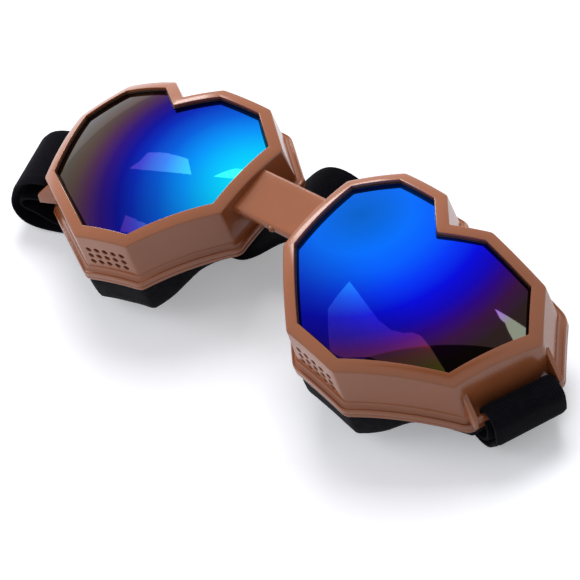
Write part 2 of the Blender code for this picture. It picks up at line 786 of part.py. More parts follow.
def box_bmesh(centre, along, width, size):
    """A box centred on a point, sized along the strap, across it and up."""
    bm = bmesh.new()
    frame = Matrix((along, width, Vector((0, 0, 1)))).transposed().to_4x4()
    scale = Matrix.Diagonal((*size, 1))
    bmesh.ops.create_cube(bm, size=1.0, matrix=Matrix.Translation(centre) @ frame @ scale)
    return bm


# Building

def build_cup(side, name, materials, rest):
    """One cup on its bending axis: housing, lens, seal, carrier ring and foam."""
    axis = make_empty(name + "_bend_axis", rest, Matrix.Translation(hinge_place(side)))
    place = Matrix.Translation(-hinge_place(side)) @ cup_matrix(side)
    housing = object_from_bmesh(name + "_housing", section_ring(side, housing_section()),
                                materials["frame"], axis, place)
    add_bracket(housing, side, place)
    cut_vents(housing, side, place)
    object_from_bmesh(name + "_lens", lens_bmesh(side), materials["lens"], axis, place)
    object_from_bmesh(name + "_lens_seal", section_ring(side, seal_section()),
                      materials["seal"], axis, place)
    object_from_bmesh(name + "_foam_carrier", section_ring(side, carrier_section()),
                      materials["frame"], axis, place)
    object_from_bmesh(name + "_face_foam", ring_bmesh(foam_loops(side)), materials["foam"], axis, place)
    return axis


def build_bridge(materials, rest):
    """The plate between the cups, round at both ends, with the moulding gate on its lower edge."""
    half = BRIDGE_THICKNESS / 2
    low, high = hinge_ends()
    shrink = BRIDGE_EDGE_ROUND
    bm = bmesh.new()
    rows = []
    for inward, thin in ((0, shrink), (shrink, 0), (BRIDGE_WIDTH - shrink, 0), (BRIDGE_WIDTH, shrink)):
        middle = low.lerp(high, inward / BRIDGE_WIDTH)
        radius = half - thin / 2
        row = []
        for side in (1, -1):
            for step in range(BRIDGE_END_STEPS + 1):
                angle = -math.pi / 2 + math.pi * step / BRIDGE_END_STEPS
                x = side * (middle.x + radius * math.cos(angle))
                row.append(bm.verts.new((x, middle.y, side * radius * math.sin(angle))))
        rows.append(row)
    for row, following in zip(rows, rows[1:]):
        for index in range(len(row)):
            after = (index + 1) % len(row)
            bm.faces.new((row[index], row[after], following[after], following[index]))
    bm.faces.new(rows[0])
    bm.faces.new(rows[-1])
    plate = object_from_bmesh("nose_bridge", bm, materials["frame"], rest, Matrix.Identity(4))
    edge_y = BRIDGE_CENTRE_Y - BRIDGE_WIDTH / 2
    gate = cylinder_bmesh(Vector((0, edge_y - GATE_HEIGHT, 0)), Vector((0, edge_y + GATE_RADIUS, 0)),
                          GATE_RADIUS, GATE_SIDES)
    tool = object_from_bmesh("gate_tool", gate, None, rest, Matrix.Identity(4))
    cut_or_join(plate, tool, "UNION")


def build_loop(name, side, places, materials, stand):
    """A loop of the strap on a bar, with its parent on the bar's axis."""
    middle = bar_at_rest(side)[0]
    axis = make_empty(name + "_axis", stand, Matrix.Translation(middle))
    band = band_bmesh(loop_route(side, places))
    object_from_bmesh(name, band, materials["elastic"], axis, Matrix.Translation(-middle))


def build_strap(materials, stand):
    """The loops on the bars, the runs under the cups, the arch between them and the sewn-back layer."""
    build_loop("right_strap_loop", 1, right_loop_places(), materials, stand)
    build_loop("left_strap_loop", -1, left_loop_places(), materials, stand)
    seam = CLEARANCE / 2
    join = join_place(1).x - seam * bar_at_rest(1)[2].x
    layer = STRAP_THICKNESS + CLEARANCE
    hem_end = SLIDER_X - HEM_LENGTH - SLIDER_TRAVEL - CLEARANCE
    routes = (
        ("right_strap_run", run_route(STRAP_ARCH_X + seam, join)),
        ("strap_arch", run_route(-STRAP_ARCH_X + seam, STRAP_ARCH_X - seam)),
        ("left_strap_run", run_route(-join, -STRAP_ARCH_X - seam)),
        ("left_strap_tail", run_route(-join, hem_end, layer)),
    )
    for name, route in routes:
        object_from_bmesh(name, band_bmesh(route), materials["elastic"], stand, Matrix.Identity(4))


def build_slider(materials, stand):
    """The tri-glide on the lower layer, and the hem of the sewn-back layer on top of it."""
    centre, along, width = slider_frame()
    place = Matrix.Translation(centre)
    inside = (SLIDER_LENGTH + 2 * CUT_OVERRUN, STRAP_WIDTH + 2 * SLIDER_SIDE_ROOM,
              STRAP_THICKNESS + 2 * CLEARANCE)
    outside = (SLIDER_LENGTH, inside[1] + 2 * SLIDER_WALL, inside[2] + 2 * SLIDER_WALL)
    slider = object_from_bmesh("strap_slider", box_bmesh(Vector(), along, width, outside),
                               materials["seal"], stand, place)
    window = object_from_bmesh("window_tool", box_bmesh(Vector(), along, width, inside), None, stand, place)
    cut_or_join(slider, window, "DIFFERENCE")
    rise = outside[2] / 2 + CLEARANCE + STRAP_THICKNESS / 2
    back = Vector((0, 0, rise)) + along * (SLIDER_LENGTH / 2 - HEM_LENGTH / 2)
    hem = box_bmesh(back, along, width, (HEM_LENGTH, STRAP_WIDTH, STRAP_THICKNESS))
    object_from_bmesh("strap_hem", hem, materials["elastic"], stand, place)


def centre_on_base(stand):
    """Moves the whole part so that its origin is under the middle of its box."""
    bpy.context.view_layer.update()
    graph = bpy.context.evaluated_depsgraph_get()
    low = Vector((math.inf, math.inf, math.inf))
    high = -low
    for item in bpy.context.scene.objects:
        if item.type != "MESH":
            continue
        shape = item.evaluated_get(graph)
        for vertex in shape.data.vertices:
            place = shape.matrix_world @ vertex.co
            low = Vector(map(min, low, place))
            high = Vector(map(max, high, place))
    stand.location = (-(low.x + high.x) / 2, -(low.y + high.y) / 2, -low.z)
    bpy.context.view_layer.update()


def main():
    clear_scene()
    materials = {
        "frame": make_material("moulded_brown", (0.305, 0.107, 0.048), 0.28),
        "lens": make_material("blue_mirror", (0.010, 0.075, 0.62), 0.05, 1.0),
        "seal": make_material("black_plastic", (0.010, 0.010, 0.011), 0.45),
        "foam": make_material("black_foam", (0.012, 0.012, 0.014), 0.95),
        "elastic": make_material("black_elastic", (0.013, 0.013, 0.017), 0.90),
    }
    stand = make_empty("goggles_origin", None, Matrix.Identity(4))
    rest = make_empty("rest_tilt", stand, rest_matrix())
    build_cup(1, "right", materials, rest)
    build_cup(-1, "left", materials, rest)
    build_bridge(materials, rest)
    build_strap(materials, stand)
    build_slider(materials, stand)
    centre_on_base(stand)


main()
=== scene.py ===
"""Looks of the heart goggles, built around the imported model."""
import json
import math

import bmesh
import bpy
from mathutils import Matrix, Vector, noise

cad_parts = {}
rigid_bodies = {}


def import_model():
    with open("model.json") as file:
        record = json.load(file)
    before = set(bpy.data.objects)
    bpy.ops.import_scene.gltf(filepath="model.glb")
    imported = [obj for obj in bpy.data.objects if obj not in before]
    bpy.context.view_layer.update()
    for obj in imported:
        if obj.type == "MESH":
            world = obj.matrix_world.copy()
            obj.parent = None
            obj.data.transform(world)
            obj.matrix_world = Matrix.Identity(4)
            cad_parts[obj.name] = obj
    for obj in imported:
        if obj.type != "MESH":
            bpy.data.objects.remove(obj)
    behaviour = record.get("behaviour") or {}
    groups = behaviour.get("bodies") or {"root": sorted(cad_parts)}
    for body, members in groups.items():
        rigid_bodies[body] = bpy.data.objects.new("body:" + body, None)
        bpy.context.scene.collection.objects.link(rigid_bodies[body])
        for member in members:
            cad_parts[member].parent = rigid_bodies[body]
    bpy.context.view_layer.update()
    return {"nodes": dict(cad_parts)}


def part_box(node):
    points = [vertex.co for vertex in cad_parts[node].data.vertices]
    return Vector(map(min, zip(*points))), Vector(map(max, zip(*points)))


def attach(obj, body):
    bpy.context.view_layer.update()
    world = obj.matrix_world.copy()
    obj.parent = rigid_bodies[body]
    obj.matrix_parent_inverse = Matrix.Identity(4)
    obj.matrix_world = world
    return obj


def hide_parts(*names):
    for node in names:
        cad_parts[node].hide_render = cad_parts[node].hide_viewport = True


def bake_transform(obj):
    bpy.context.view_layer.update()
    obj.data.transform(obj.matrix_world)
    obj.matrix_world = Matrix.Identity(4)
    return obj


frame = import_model()

MM = 0.001
UP = Vector((0, 0, 1))

# Sizes repeated from the part's source, in metres
GAP = 0.3 * MM
NOSE_HALF = 38.5 * MM
TEMPLE_HALF = 40.2 * MM
HALF_HEIGHT = 34.0 * MM
NOTCH_SHARE = 0.776
NOSE_SHARES = ((-0.257, 1.0), (-0.70, 0.953), (-1.0, 0.574), (-0.875, -0.265), (-0.281, -0.829))
TEMPLE_SHARES = ((0.211, -0.829), (0.863, -0.229), (1.0, 0.591), (0.711, 0.985), (0.209, 1.0))
BRIDGE_EDGE = (3, 4)
VENT_EDGE = (5, 6)
BAR_EDGE = (7, 8)
CORNER_RADIUS = 1.8 * MM
LEAST_RADIUS = 0.4 * MM
NOTCH_RADIUS = 0.8 * MM
DOME_ACROSS = 64.8 * MM
DOME_ALONG = 70.2 * MM
APEX_U = -10.9 * MM
APEX_V = 1.3 * MM
LIP = 0.9 * MM
WALL = 2.3 * MM
GROOVE = 0.8 * MM
WALL_HEIGHT = 14.2 * MM
FLARE = 0.6 * MM
COVE = 0.6 * MM
FLANGE = 1.6 * MM
BEAD = 0.4 * MM
FLANGE_THICK = 1.3 * MM
LENS_THICK = 1.3 * MM
SEAL = 0.4 * MM
LENS_EDGE = -(WALL - GROOVE + 2 * GAP + SEAL)
VENT_RADIUS = 0.95 * MM
VENT_PITCH = 3.1 * MM
VENT_ROW = 2.8 * MM
VENT_DEPTH = 8.6 * MM
CARRIER = 1.2 * MM
CARRIER_WIDTH = 8.8 * MM
FOAM_INSET = 2.6 * MM
FOAM_DEPTH = 10.0 * MM
FOAM_SHARES = ((0, 0.65), (2, 0.6), (3.5, 0.45), (4.4, 0.5), (5, 1.0), (6, 0.95), (6.5, 0.5),
               (7, 0.8), (8, 0.8), (9, 0.7), (11, 0.65))
ARM_THICK = 1.4 * MM
ARM_TOP = 3.6 * MM
ARM_BOTTOM = 13.6 * MM
BAR_RADIUS = 1.2 * MM
BAR_REACH = 4.7 * MM
BAR_DEPTH = 12.0 * MM
ARM_TIP = 1.6 * MM
BRIDGE_WIDTH = 16.0 * MM
BRIDGE_THICK = 2.6 * MM
BRIDGE_Y = 13.5 * MM
GATE_X = 2.7 * MM
SPACING = 46.8 * MM
CUP_Y = 3.9 * MM
CROWN_Z = 9.0 * MM
WRAP = math.radians(-0.9)
TOE = math.radians(-10.2)
TILT = math.radians(8.7)
STRAP_WIDTH = 25.0 * MM
STRAP_THICK = 1.5 * MM
JOIN_REACH = 14.0 * MM
FLAT_REACH = 10.0 * MM
MIDDLE_Y = 30.0 * MM
ARCH_HEIGHT = 24.0 * MM
ARCH_X = 34.0 * MM
ARCH_TWIST = 6.0 * MM
RIGHT_BULGE = 5.4 * MM
RIGHT_DROP = 7.8 * MM
LEFT_BULGE = 13.4 * MM
LEFT_SLACK = 2.4 * MM
INNER_BULGE = 9.6 * MM
RIGHT_SHOULDER_DROP = 1.5 * MM
SLOT_WRAP = 45
SLIDER_X = -47.0 * MM
SLIDER_LENGTH = 8.0 * MM
SLIDER_WALL = 1.4 * MM
SLIDER_TRAVEL = 8.0 * MM
HEM_LENGTH = 12.0 * MM

# The strap loops' curves, as shares of their bulge and height
RIGHT_TOP_SHARES = ((0.55, 1.1), (1.0, 0.8))
RIGHT_BEND_SHARES = ((1.0, 0.8), (0.9, 1.0), (0.6, 1.08))
RIGHT_FOOT_SHARES = (0.36, 1.2)
RIGHT_RISE_SHARES = (0.6, 0.55, 2.0)
LEFT_FOOT_SHARES = ((0.0, 1.0), (0.55, 1.0), (0.8, 0.8))
LEFT_SIDE_SHARES = ((1.02, 0.62), (1.03, 0.35), (0.88, 0.12))
LEFT_TOP_SHARES = ((0.7, 0.75), (0.4, 1.0))
LEFT_ENTRY_SHARES = (0.7, 0.6)
INNER_TOP_SHARES = ((0.0, 1.35), (0.5, 1.0), (0.8, 1.3), (1.12, 1.5))
INNER_FOLD_SHARES = ((1.1, 0.42), (0.8, 0.46), (0.3, 0.59))

# Shown without the model's gaps: the lip's depth, and the seal that shows as a thin line inside it
SHOWN_LIP = 1.35 * MM
SHOWN_SEAL = 0.35 * MM
SHOWN_COVER = 0.35 * MM
SHOWN_BEZEL = 3.6 * MM

# The soft foam fills out past the model's on the low side, and sags to the table there
FOAM_FULL = 1.6 * MM
FOAM_SAG = 2.9 * MM

# The low side's start and end, as places along the corners, and how soon it comes and goes
LOW_START = 4.2
LOW_END = 6.7
LOW_RISE = 0.6
LOW_FALL = 0.5

# The foam's section: millimetres out from its outer side, and shares of its depth
FOAM_SECTION = ((0.0, 0.0), (0.1, 0.04), (0.2, 0.2), (0.22, 0.45), (0.1, 0.7), (-0.3, 0.88), (-0.9, 0.97),
                (-2.2, 1.0), (-4.2, 1.0), (-6.0, 0.98), (-7.2, 0.9), (-7.9, 0.72), (-8.25, 0.45),
                (-8.2, 0.2), (-8.0, 0.03))
FOAM_STEPS_OUT = 1.6
FOAM_STEPS_DEEP = 8
FOAM_BULGE_REACH = 3.0 * MM
FOAM_SKIN_START = 0.5 * MM
FOAM_SKIN = ((900, 0.10), (180, 0.18))

# Eased edges and small forms
BEZEL_CROWN = 0.1 * MM
BEZEL_INNER_EASE = 0.25 * MM
BEZEL_OUTER_EASE = 0.45 * MM
WALL_FOOT_EASE = 0.5 * MM
FLANGE_EASE = 0.3 * MM
BEAD_EASE = 0.15 * MM
BEAD_HOLLOW_EASE = 0.4 * MM
GROOVE_EASE = 0.2 * MM
LIP_EASE = 0.1 * MM
CARRIER_OUTER_EASE = 0.35 * MM
CARRIER_INNER_EASE = 0.2 * MM
ARM_TIP_EASE = 0.5 * MM
ARM_EDGE_EASE = 0.25 * MM
EASE_SHARE = 0.3
SLIDER_EASE = 0.35 * MM
OVERRUN = 1.0 * MM
VENT_LIP = 0.22 * MM
VENT_LIP_DEPTH = 0.2 * MM
VENT_LIP_RISE = 0.05 * MM
LENS_NIP = 0.02 * MM
BRIDGE_TOP_EASE = 0.9 * MM
BRIDGE_FOOT_EASE = 0.5 * MM
BRIDGE_BURY = 0.9 * MM
BRIDGE_SEAM = -1.0 * MM
GATE_PROFILE = ((1.05 * MM, -0.6 * MM), (1.05 * MM, 0.25 * MM), (0.85 * MM, 0.5 * MM),
                (0.5 * MM, 0.42 * MM), (0.4 * MM, 0.75 * MM), (0.2 * MM, 0.85 * MM))
SELVEDGE = 0.9 * MM
SELVEDGE_SHARE = 0.85
FOLD_NARROWED = 2.0 * MM
HEM_RISE = 5.0 * MM

# Finer steps than the model's own
CORNER_STEPS = 6
ARC_SHARE = 0.02
EDGE_STEP = 2.4 * MM
ROUND_STEPS = 4
LENS_RINGS = 28
LOOP_STEPS = 16
STRAP_STEP = 1.2 * MM
STRAP_COLUMNS = 16
BRIDGE_STEP = 1.5 * MM
BRIDGE_ROWS = 16
VENT_SIDES = 20
BAR_SIDES = 28
SHARP_ANGLE = 35
STRAP_SHARP_ANGLE = 60

SIDES = ((1, "right"), (-1, "left"))


# Heart outline and dome

def clamp(value):
    return min(max(value, 0), 1)


def eased(share):
    """A share of 0 to 1 with a soft start and end."""
    share = clamp(share)
    return share * share * (3 - 2 * share)


def corners():
    points = [Vector((0, NOTCH_SHARE * HALF_HEIGHT))]
    points += [Vector((u * NOSE_HALF, v * HALF_HEIGHT)) for u, v in NOSE_SHARES]
    points += [Vector((u * TEMPLE_HALF, v * HALF_HEIGHT)) for u, v in TEMPLE_SHARES]
    return points


def outward(direction):
    return Vector((direction.y, -direction.x))


def outline(distance):
    """Points round the heart at one offset, each with its place along the corners."""
    base = corners()
    count = len(base)
    arcs = []
    for index, corner in enumerate(base):
        before = (corner - base[index - 1]).normalized()
        after = (base[(index + 1) % count] - corner).normalized()
        normal = outward(before)
        following = outward(after)
        moved = corner + (normal + following) * distance / (1 + normal.dot(following))
        turn = before.angle_signed(after)
        convex = normal.dot(after) < 0
        radius = max(CORNER_RADIUS + distance, LEAST_RADIUS) if convex else NOTCH_RADIUS
        start = moved - before * radius * math.tan(abs(turn) / 2)
        centre = start + normal * radius * (-1 if convex else 1)
        arc = []
        for step in range(CORNER_STEPS + 1):
            share = step / CORNER_STEPS
            place = centre + Matrix.Rotation(-turn * share, 2) @ (start - centre)
            arc.append((place, index + (share - 0.5) * ARC_SHARE))
        arcs.append(arc)
    loop = []
    for index, arc in enumerate(arcs):
        loop += arc
        following = arcs[(index + 1) % count]
        length = (base[(index + 1) % count] - base[index]).length
        pieces = max(2, round(length / EDGE_STEP))
        for step in range(1, pieces):
            share = step / pieces
            loop.append((arc[-1][0].lerp(following[0][0], share), index + share))
    return loop


def dome(u, v):
    return -(u - APEX_U) ** 2 / (2 * DOME_ACROSS) - (v - APEX_V) ** 2 / (2 * DOME_ALONG)


def on_dome(side, place, depth=0.0):
    """A place of a cup's plane on its dome, or at a depth below it."""
    return Vector((side * place.x, place.y, dome(place.x, place.y) - depth))


def cup_matrix(side):
    place = Matrix.Translation((side * SPACING, CUP_Y, CROWN_Z))
    return place @ Matrix.Rotation(side * WRAP, 4, "Y") @ Matrix.Rotation(side * TOE, 4, "Z")


def levels():
    """Depths of the seats below the dome, from the front to the back."""
    level = {"groove_top": LIP, "seal_top": LIP + GAP}
    level["lens_top"] = level["seal_top"] + SEAL + GAP
    level["lens_bottom"] = level["lens_top"] + LENS_THICK
    level["seal_bottom"] = level["lens_bottom"] + GAP + SEAL
    level["groove_bottom"] = level["seal_bottom"] + GAP
    level["flange_top"] = WALL_HEIGHT + COVE
    level["flange_bottom"] = level["flange_top"] + FLANGE_THICK
    level["carrier_top"] = level["flange_bottom"] + GAP
    level["carrier_bottom"] = level["carrier_top"] + CARRIER
    level["foam_top"] = level["carrier_bottom"] + GAP
    return level


def shown_levels():
    """The lens and its seal as they show, pressed up under the lip."""
    level = dict(LEVEL)
    level["groove_top"] = SHOWN_LIP
    level["seal_top"] = SHOWN_LIP
    level["lens_top"] = SHOWN_LIP + SHOWN_SEAL
    level["lens_bottom"] = level["lens_top"] + LENS_THICK
    level["seal_bottom"] = level["groove_bottom"]
    return level


LEVEL = levels()
SHOWN = shown_levels()


def foam_depth(corner):
    place = corner % FOAM_SHARES[-1][0]
    for (start, low), (end, high) in zip(FOAM_SHARES, FOAM_SHARES[1:]):
        if place <= end:
            share = (place - start) / (end - start)
            return FOAM_DEPTH * (low + (high - low) * eased(share))
    return FOAM_DEPTH


def low_side(corner):
    """1 round the low corners of the heart, where the foam shows at its fullest, and 0 elsewhere."""
    return eased(clamp((corner - LOW_START) / LOW_RISE) * clamp((LOW_END - corner) / LOW_FALL))


def rest_matrix():
    """The bridge's frame, placed so that the lenses made here lie where the model's are."""
    tilt = Matrix.Rotation(TILT, 4, "X")
    low = Vector((math.inf, math.inf, math.inf))
    for depth in (LEVEL["lens_top"], LEVEL["lens_bottom"]):
        for point, _ in outline(LENS_EDGE):
            low = Vector(map(min, low, tilt @ cup_matrix(1) @ on_dome(1, point, depth)))
    right_low, right_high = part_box("right_lens")
    middle = (right_high.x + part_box("left_lens")[0].x) / 2
    return Matrix.Translation((middle, right_low.y - low.y, right_low.z - low.z)) @ tilt


REST = rest_matrix()


# Mesh building

def placed(name, data):
    item = bpy.data.objects.new(name, data)
    bpy.context.scene.collection.objects.link(item)
    return item


def mesh_object(name, verts, faces, material, uvs=None, sharp=SHARP_ANGLE):
    """An object from points and faces, with an optional map of u, v places for each face corner."""
    mesh = bpy.data.meshes.new(name)
    mesh.from_pydata([tuple(v) for v in verts], [], faces)
    if uvs is not None:
        layer = mesh.uv_layers.new(name="flow")
        for polygon, corners_uv in zip(mesh.polygons, uvs):
            for loop_index, place in zip(polygon.loop_indices, corners_uv):
                layer.data[loop_index].uv = place
    mesh.validate()
    bm = bmesh.new()
    bm.from_mesh(mesh)
    bmesh.ops.recalc_face_normals(bm, faces=bm.faces)
    bm.to_mesh(mesh)
    bm.free()
    mesh.shade_smooth()
    mesh.set_sharp_from_angle(angle=math.radians(sharp))
    if material is not None:
        mesh.materials.append(material)
    return placed(name, mesh)


def tube_faces(rows, columns, closed_rows):
    """Quads between rows of points that each close on themselves."""
    faces = []
    last = rows if closed_rows else rows - 1
    for row in range(last):
        for column in range(columns):
            after = (column + 1) % columns
            below = (row + 1) % rows
            faces.append((row * columns + column, row * columns + after,
                          below * columns + after, below * columns + column))
    return faces


def capped_tube(rows, columns):
    """The same between open rows, with a face on each end."""
    ends = [tuple(range(columns)), tuple(range((rows - 1) * columns, rows * columns))]
    return tube_faces(rows, columns, False) + ends


def running(points):
    """Distances along a line of points, from its start."""
    total = [0.0]
    for before, after in zip(points, points[1:]):
        total.append(total[-1] + (after - before).length)
    return total


def flow_uvs(along, across):
    """Places on the ring for each quad of tube_faces: along the columns, then across the rows."""
    uvs = []
    for v in zip(across, across[1:]):
        for u in zip(along, along[1:]):
            uvs.append(((u[0], v[0]), (u[1], v[0]), (u[1], v[1]), (u[0], v[1])))
    return uvs


def rounded(points):
    """A closed section with the corners of points that give a radius turned into arcs."""
    made = []
    count = len(points)
    for index, (t, d, radius) in enumerate(points):
        here = Vector((t, d))
        if not radius:
            made.append(here)
            continue
        before = Vector(points[index - 1][:2]) - here
        after = Vector(points[(index + 1) % count][:2]) - here
        reach = min(radius, before.length * 0.45, after.length * 0.45)
        start = here + before.normalized() * reach
        end = here + after.normalized() * reach
        for step in range(ROUND_STEPS + 1):
            share = step / ROUND_STEPS
            made.append(start * (1 - share) ** 2 + here * 2 * share * (1 - share) + end * share ** 2)
    return made


def ring_object(name, side, section, material, extra=None, wider=None):
    """A ring that follows the heart. Its section is a list of outward and downward places."""
    matrix = REST @ cup_matrix(side)
    loops = []
    for t, d in section:
        places = []
        line = outline(t)
        if wider is not None:
            line = [(a.lerp(b, wider(corner, t) / FOAM_FULL), corner)
                    for (a, corner), (b, _) in zip(line, outline(t + FOAM_FULL))]
        for point, corner in line:
            drop = d if extra is None else extra(d, corner)
            places.append(matrix @ on_dome(side, point, drop))
        loops.append(places)
    along = running(loops[0] + loops[0][:1])
    across = running([Vector(place) for place in section + section[:1]])
    verts = [place for loop in loops for place in loop]
    faces = tube_faces(len(loops), len(loops[0]), True)
    return mesh_object(name, verts, faces, material, flow_uvs(along, across))


def boolean(target, solid, operation):
    tool = mesh_object("tool", *solid, None)
    modifier = target.modifiers.new("cut", "BOOLEAN")
    modifier.operation = operation
    modifier.solver = "EXACT"
    modifier.object = tool
    bpy.context.view_layer.update()
    graph = bpy.context.evaluated_depsgraph_get()
    made = bpy.data.meshes.new_from_object(target.evaluated_get(graph))
    target.modifiers.clear()
    target.data = made
    made.shade_smooth()
    made.set_sharp_from_angle(angle=math.radians(SHARP_ANGLE))
    bpy.data.objects.remove(tool, do_unlink=True)


# Housing

def housing_section():
    foot = FLARE
    reach = FLARE + FLANGE
    inner = -WALL
    back = inner + GROOVE
    top, bottom = LEVEL["flange_top"], LEVEL["flange_bottom"]
    return rounded([
        (-SHOWN_BEZEL, 0, BEZEL_INNER_EASE),
        (-SHOWN_BEZEL / 2, -BEZEL_CROWN, 0),
        (0, 0, BEZEL_OUTER_EASE),
        (foot, WALL_HEIGHT, WALL_FOOT_EASE),
        (foot + COVE, top, FLANGE_EASE),
        (reach - BEAD, top, BEAD_EASE),
        (reach, top - BEAD, BEAD_HOLLOW_EASE),
        (reach + BEAD, top, BEAD_EASE),
        (reach + BEAD, bottom, FLANGE_EASE),
        (foot - WALL, bottom, FLANGE_EASE),
        (inner, LEVEL["groove_bottom"], GROOVE_EASE),
        (back, LEVEL["groove_bottom"], 0),
        (back, SHOWN["groove_top"], 0),
        (-SHOWN_BEZEL, SHOWN["groove_top"], LIP_EASE),
    ])


def edge_frame(side, pair):
    """Middle, direction and outward normal of an edge of the heart, in the cup's plane."""
    points = corners()
    start, end = points[pair[0]], points[pair[1]]
    direction = (end - start).normalized()
    normal = outward(direction)
    middle = (start + end) / 2
    return (Vector((side * middle.x, middle.y)), Vector((side * direction.x, direction.y)),
            Vector((side * normal.x, normal.y)))


def bar_frame(side):
    """Middle, axis, outward and upward directions of the strap bar, in the cup's frame."""
    points = corners()
    normal = edge_frame(side, BAR_EDGE)[2].to_3d()
    ends = [on_dome(side, points[index], BAR_DEPTH) + normal * BAR_REACH for index in BAR_EDGE]
    axis = (ends[1] - ends[0]).normalized()
    out = (normal - axis * normal.dot(axis)).normalized()
    return (ends[0] + ends[1]) / 2, axis, out, out.cross(axis) * side


def turned(profile, start, axis, sides):
    """A closed turned solid: radii and distances along an axis from a start point."""
    side_a = axis.orthogonal().normalized()
    side_b = axis.cross(side_a)
    verts = []
    for radius, distance in profile:
        for step in range(sides):
            angle = 2 * math.pi * step / sides
            spoke = side_a * math.cos(angle) + side_b * math.sin(angle)
            verts.append(start + axis * distance + spoke * radius)
    return verts, capped_tube(len(profile), sides)


def merged(parts):
    verts, faces = [], []
    for more_verts, more_faces in parts:
        base = len(verts)
        verts += more_verts
        faces += [tuple(index + base for index in face) for face in more_faces]
    return verts, faces


def arm_solid(side, end, matrix):
    """One bracket arm with eased edges."""
    middle, axis, out, up = bar_frame(side)
    gap = STRAP_WIDTH / 2 + 2 * GAP
    root = -BAR_REACH - WALL / 2
    shape = rounded([(root, BAR_DEPTH - ARM_TOP, 0), (ARM_TIP, ARM_TIP, ARM_TIP_EASE),
                     (ARM_TIP, -ARM_TIP, ARM_TIP_EASE), (root, BAR_DEPTH - ARM_BOTTOM, 0)])
    centre = Vector((sum(o for o, _ in shape), sum(h for _, h in shape))) / len(shape)
    ease = ARM_EDGE_EASE
    near = ease * EASE_SHARE
    verts = []
    rows = ((0, ease), (near, near), (ease, 0), (ARM_THICK - ease, 0), (ARM_THICK - near, near),
            (ARM_THICK, ease))
    for distance, inset in rows:
        for o, h in shape:
            inward = centre - Vector((o, h))
            place = Vector((o, h)) + inward.normalized() * inset
            verts.append(matrix @ (middle + axis * end * (gap + distance) + out * place.x + up * place.y))
    return verts, capped_tube(len(rows), len(shape))


def vent_solids(side, matrix):
    middle, direction, normal = edge_frame(side, VENT_EDGE)
    out = matrix.to_3x3() @ normal.to_3d()
    parts = []
    for row in (-1, 0, 1):
        depth = VENT_DEPTH + row * VENT_ROW
        surface = FLARE * depth / WALL_HEIGHT
        for column in (-2, -1, 0, 1, 2):
            centre = (middle + direction * column * VENT_PITCH).to_3d()
            centre.z = dome(side * centre.x, centre.y) - depth
            lip = VENT_RADIUS + VENT_LIP
            profile = ((VENT_RADIUS, -WALL - OVERRUN), (VENT_RADIUS, surface - VENT_LIP_DEPTH),
                       (lip, surface + VENT_LIP_RISE), (lip, surface + OVERRUN))
            parts.append(turned(profile, matrix @ centre, out, VENT_SIDES))
    return merged(parts)


def build_housing(side, name):
    matrix = REST @ cup_matrix(side)
    housing = ring_object(name + "_cup_shell", side, housing_section(), MATERIALS["plastic"])
    for end in (-1, 1):
        boolean(housing, arm_solid(side, end, matrix), "UNION")
    middle, axis, _, _ = bar_frame(side)
    reach = STRAP_WIDTH / 2 + 2 * GAP + ARM_THICK / 2
    axis = (matrix.to_3x3() @ axis).normalized()
    bar = turned(((BAR_RADIUS, -reach), (BAR_RADIUS, reach)), matrix @ middle, axis, BAR_SIDES)
    boolean(housing, bar, "UNION")
    boolean(housing, vent_solids(side, matrix), "DIFFERENCE")
    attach(housing, name + "_cup")
    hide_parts(name + "_housing")


def build_lens(side, name):
    """The domed lens, with a map of its own places for the coating's colours, which carry painted
    reflection.
    """
    matrix = REST @ cup_matrix(side)
    rim = [point for point, _ in outline(LENS_EDGE)]
    apex = Vector((APEX_U, APEX_V))
    columns = len(rim)
    shares = [1 - ring / LENS_RINGS for ring in range(LENS_RINGS)]
    places = [apex.lerp(point, share) for share in shares for point in rim] + [apex]
    verts = []
    for depth in (SHOWN["lens_top"], SHOWN["lens_bottom"]):
        verts += [matrix @ on_dome(side, place, depth) for place in places]
    faces = []
    half = len(places)
    for layer in (0, half):
        faces += [tuple(index + layer for index in face) for face in tube_faces(LENS_RINGS, columns, False)]
        last = layer + (LENS_RINGS - 1) * columns
        for column in range(columns):
            faces.append((last + column, last + (column + 1) % columns, layer + half - 1))
    for column in range(columns):
        after = (column + 1) % columns
        faces.append((column, after, half + after, half + column))
    scale = 1 / (LENS_MAP * MM)
    mapped = [(place.x * scale + 0.5, place.y * scale + 0.5) for place in places]
    uvs = [[mapped[index % half] for index in face] for face in faces]
    lens = mesh_object(name + "_mirror_lens", verts, faces, MATERIALS[name + "_lens"], uvs)
    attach(lens, name + "_cup")
    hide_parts(name + "_lens")


def build_seal(side, name):
    back = LENS_EDGE + GAP + SEAL
    inside = LENS_EDGE + GAP
    tip = -(SHOWN_BEZEL + SHOWN_COVER)
    top, bottom = SHOWN["seal_top"], SHOWN["seal_bottom"]
    lens_top = SHOWN["lens_top"] - LENS_NIP
    lens_bottom = SHOWN["lens_bottom"] + LENS_NIP
    section = rounded([(tip, top, LIP_EASE), (back, top, 0), (back, bottom, 0), (tip, bottom, LIP_EASE),
                       (tip, lens_bottom, 0), (inside, lens_bottom, 0), (inside, lens_top, 0),
                       (tip, lens_top, 0)])
    seal = ring_object(name + "_rubber_seal", side, section, MATERIALS["rubber"])
    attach(seal, name + "_cup")
    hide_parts(name + "_lens_seal")


def build_carrier(side, name):
    reach = FLARE + FLANGE + BEAD
    top, bottom = LEVEL["carrier_top"], LEVEL["carrier_bottom"]
    inner = reach - CARRIER_WIDTH
    section = rounded([(reach, top, CARRIER_OUTER_EASE), (reach, bottom, CARRIER_OUTER_EASE),
                       (inner, bottom, CARRIER_INNER_EASE), (inner, top, CARRIER_INNER_EASE)])
    carrier = ring_object(name + "_foam_frame", side, section, MATERIALS["plastic"])
    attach(carrier, name + "_cup")
    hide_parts(name + "_foam_carrier")


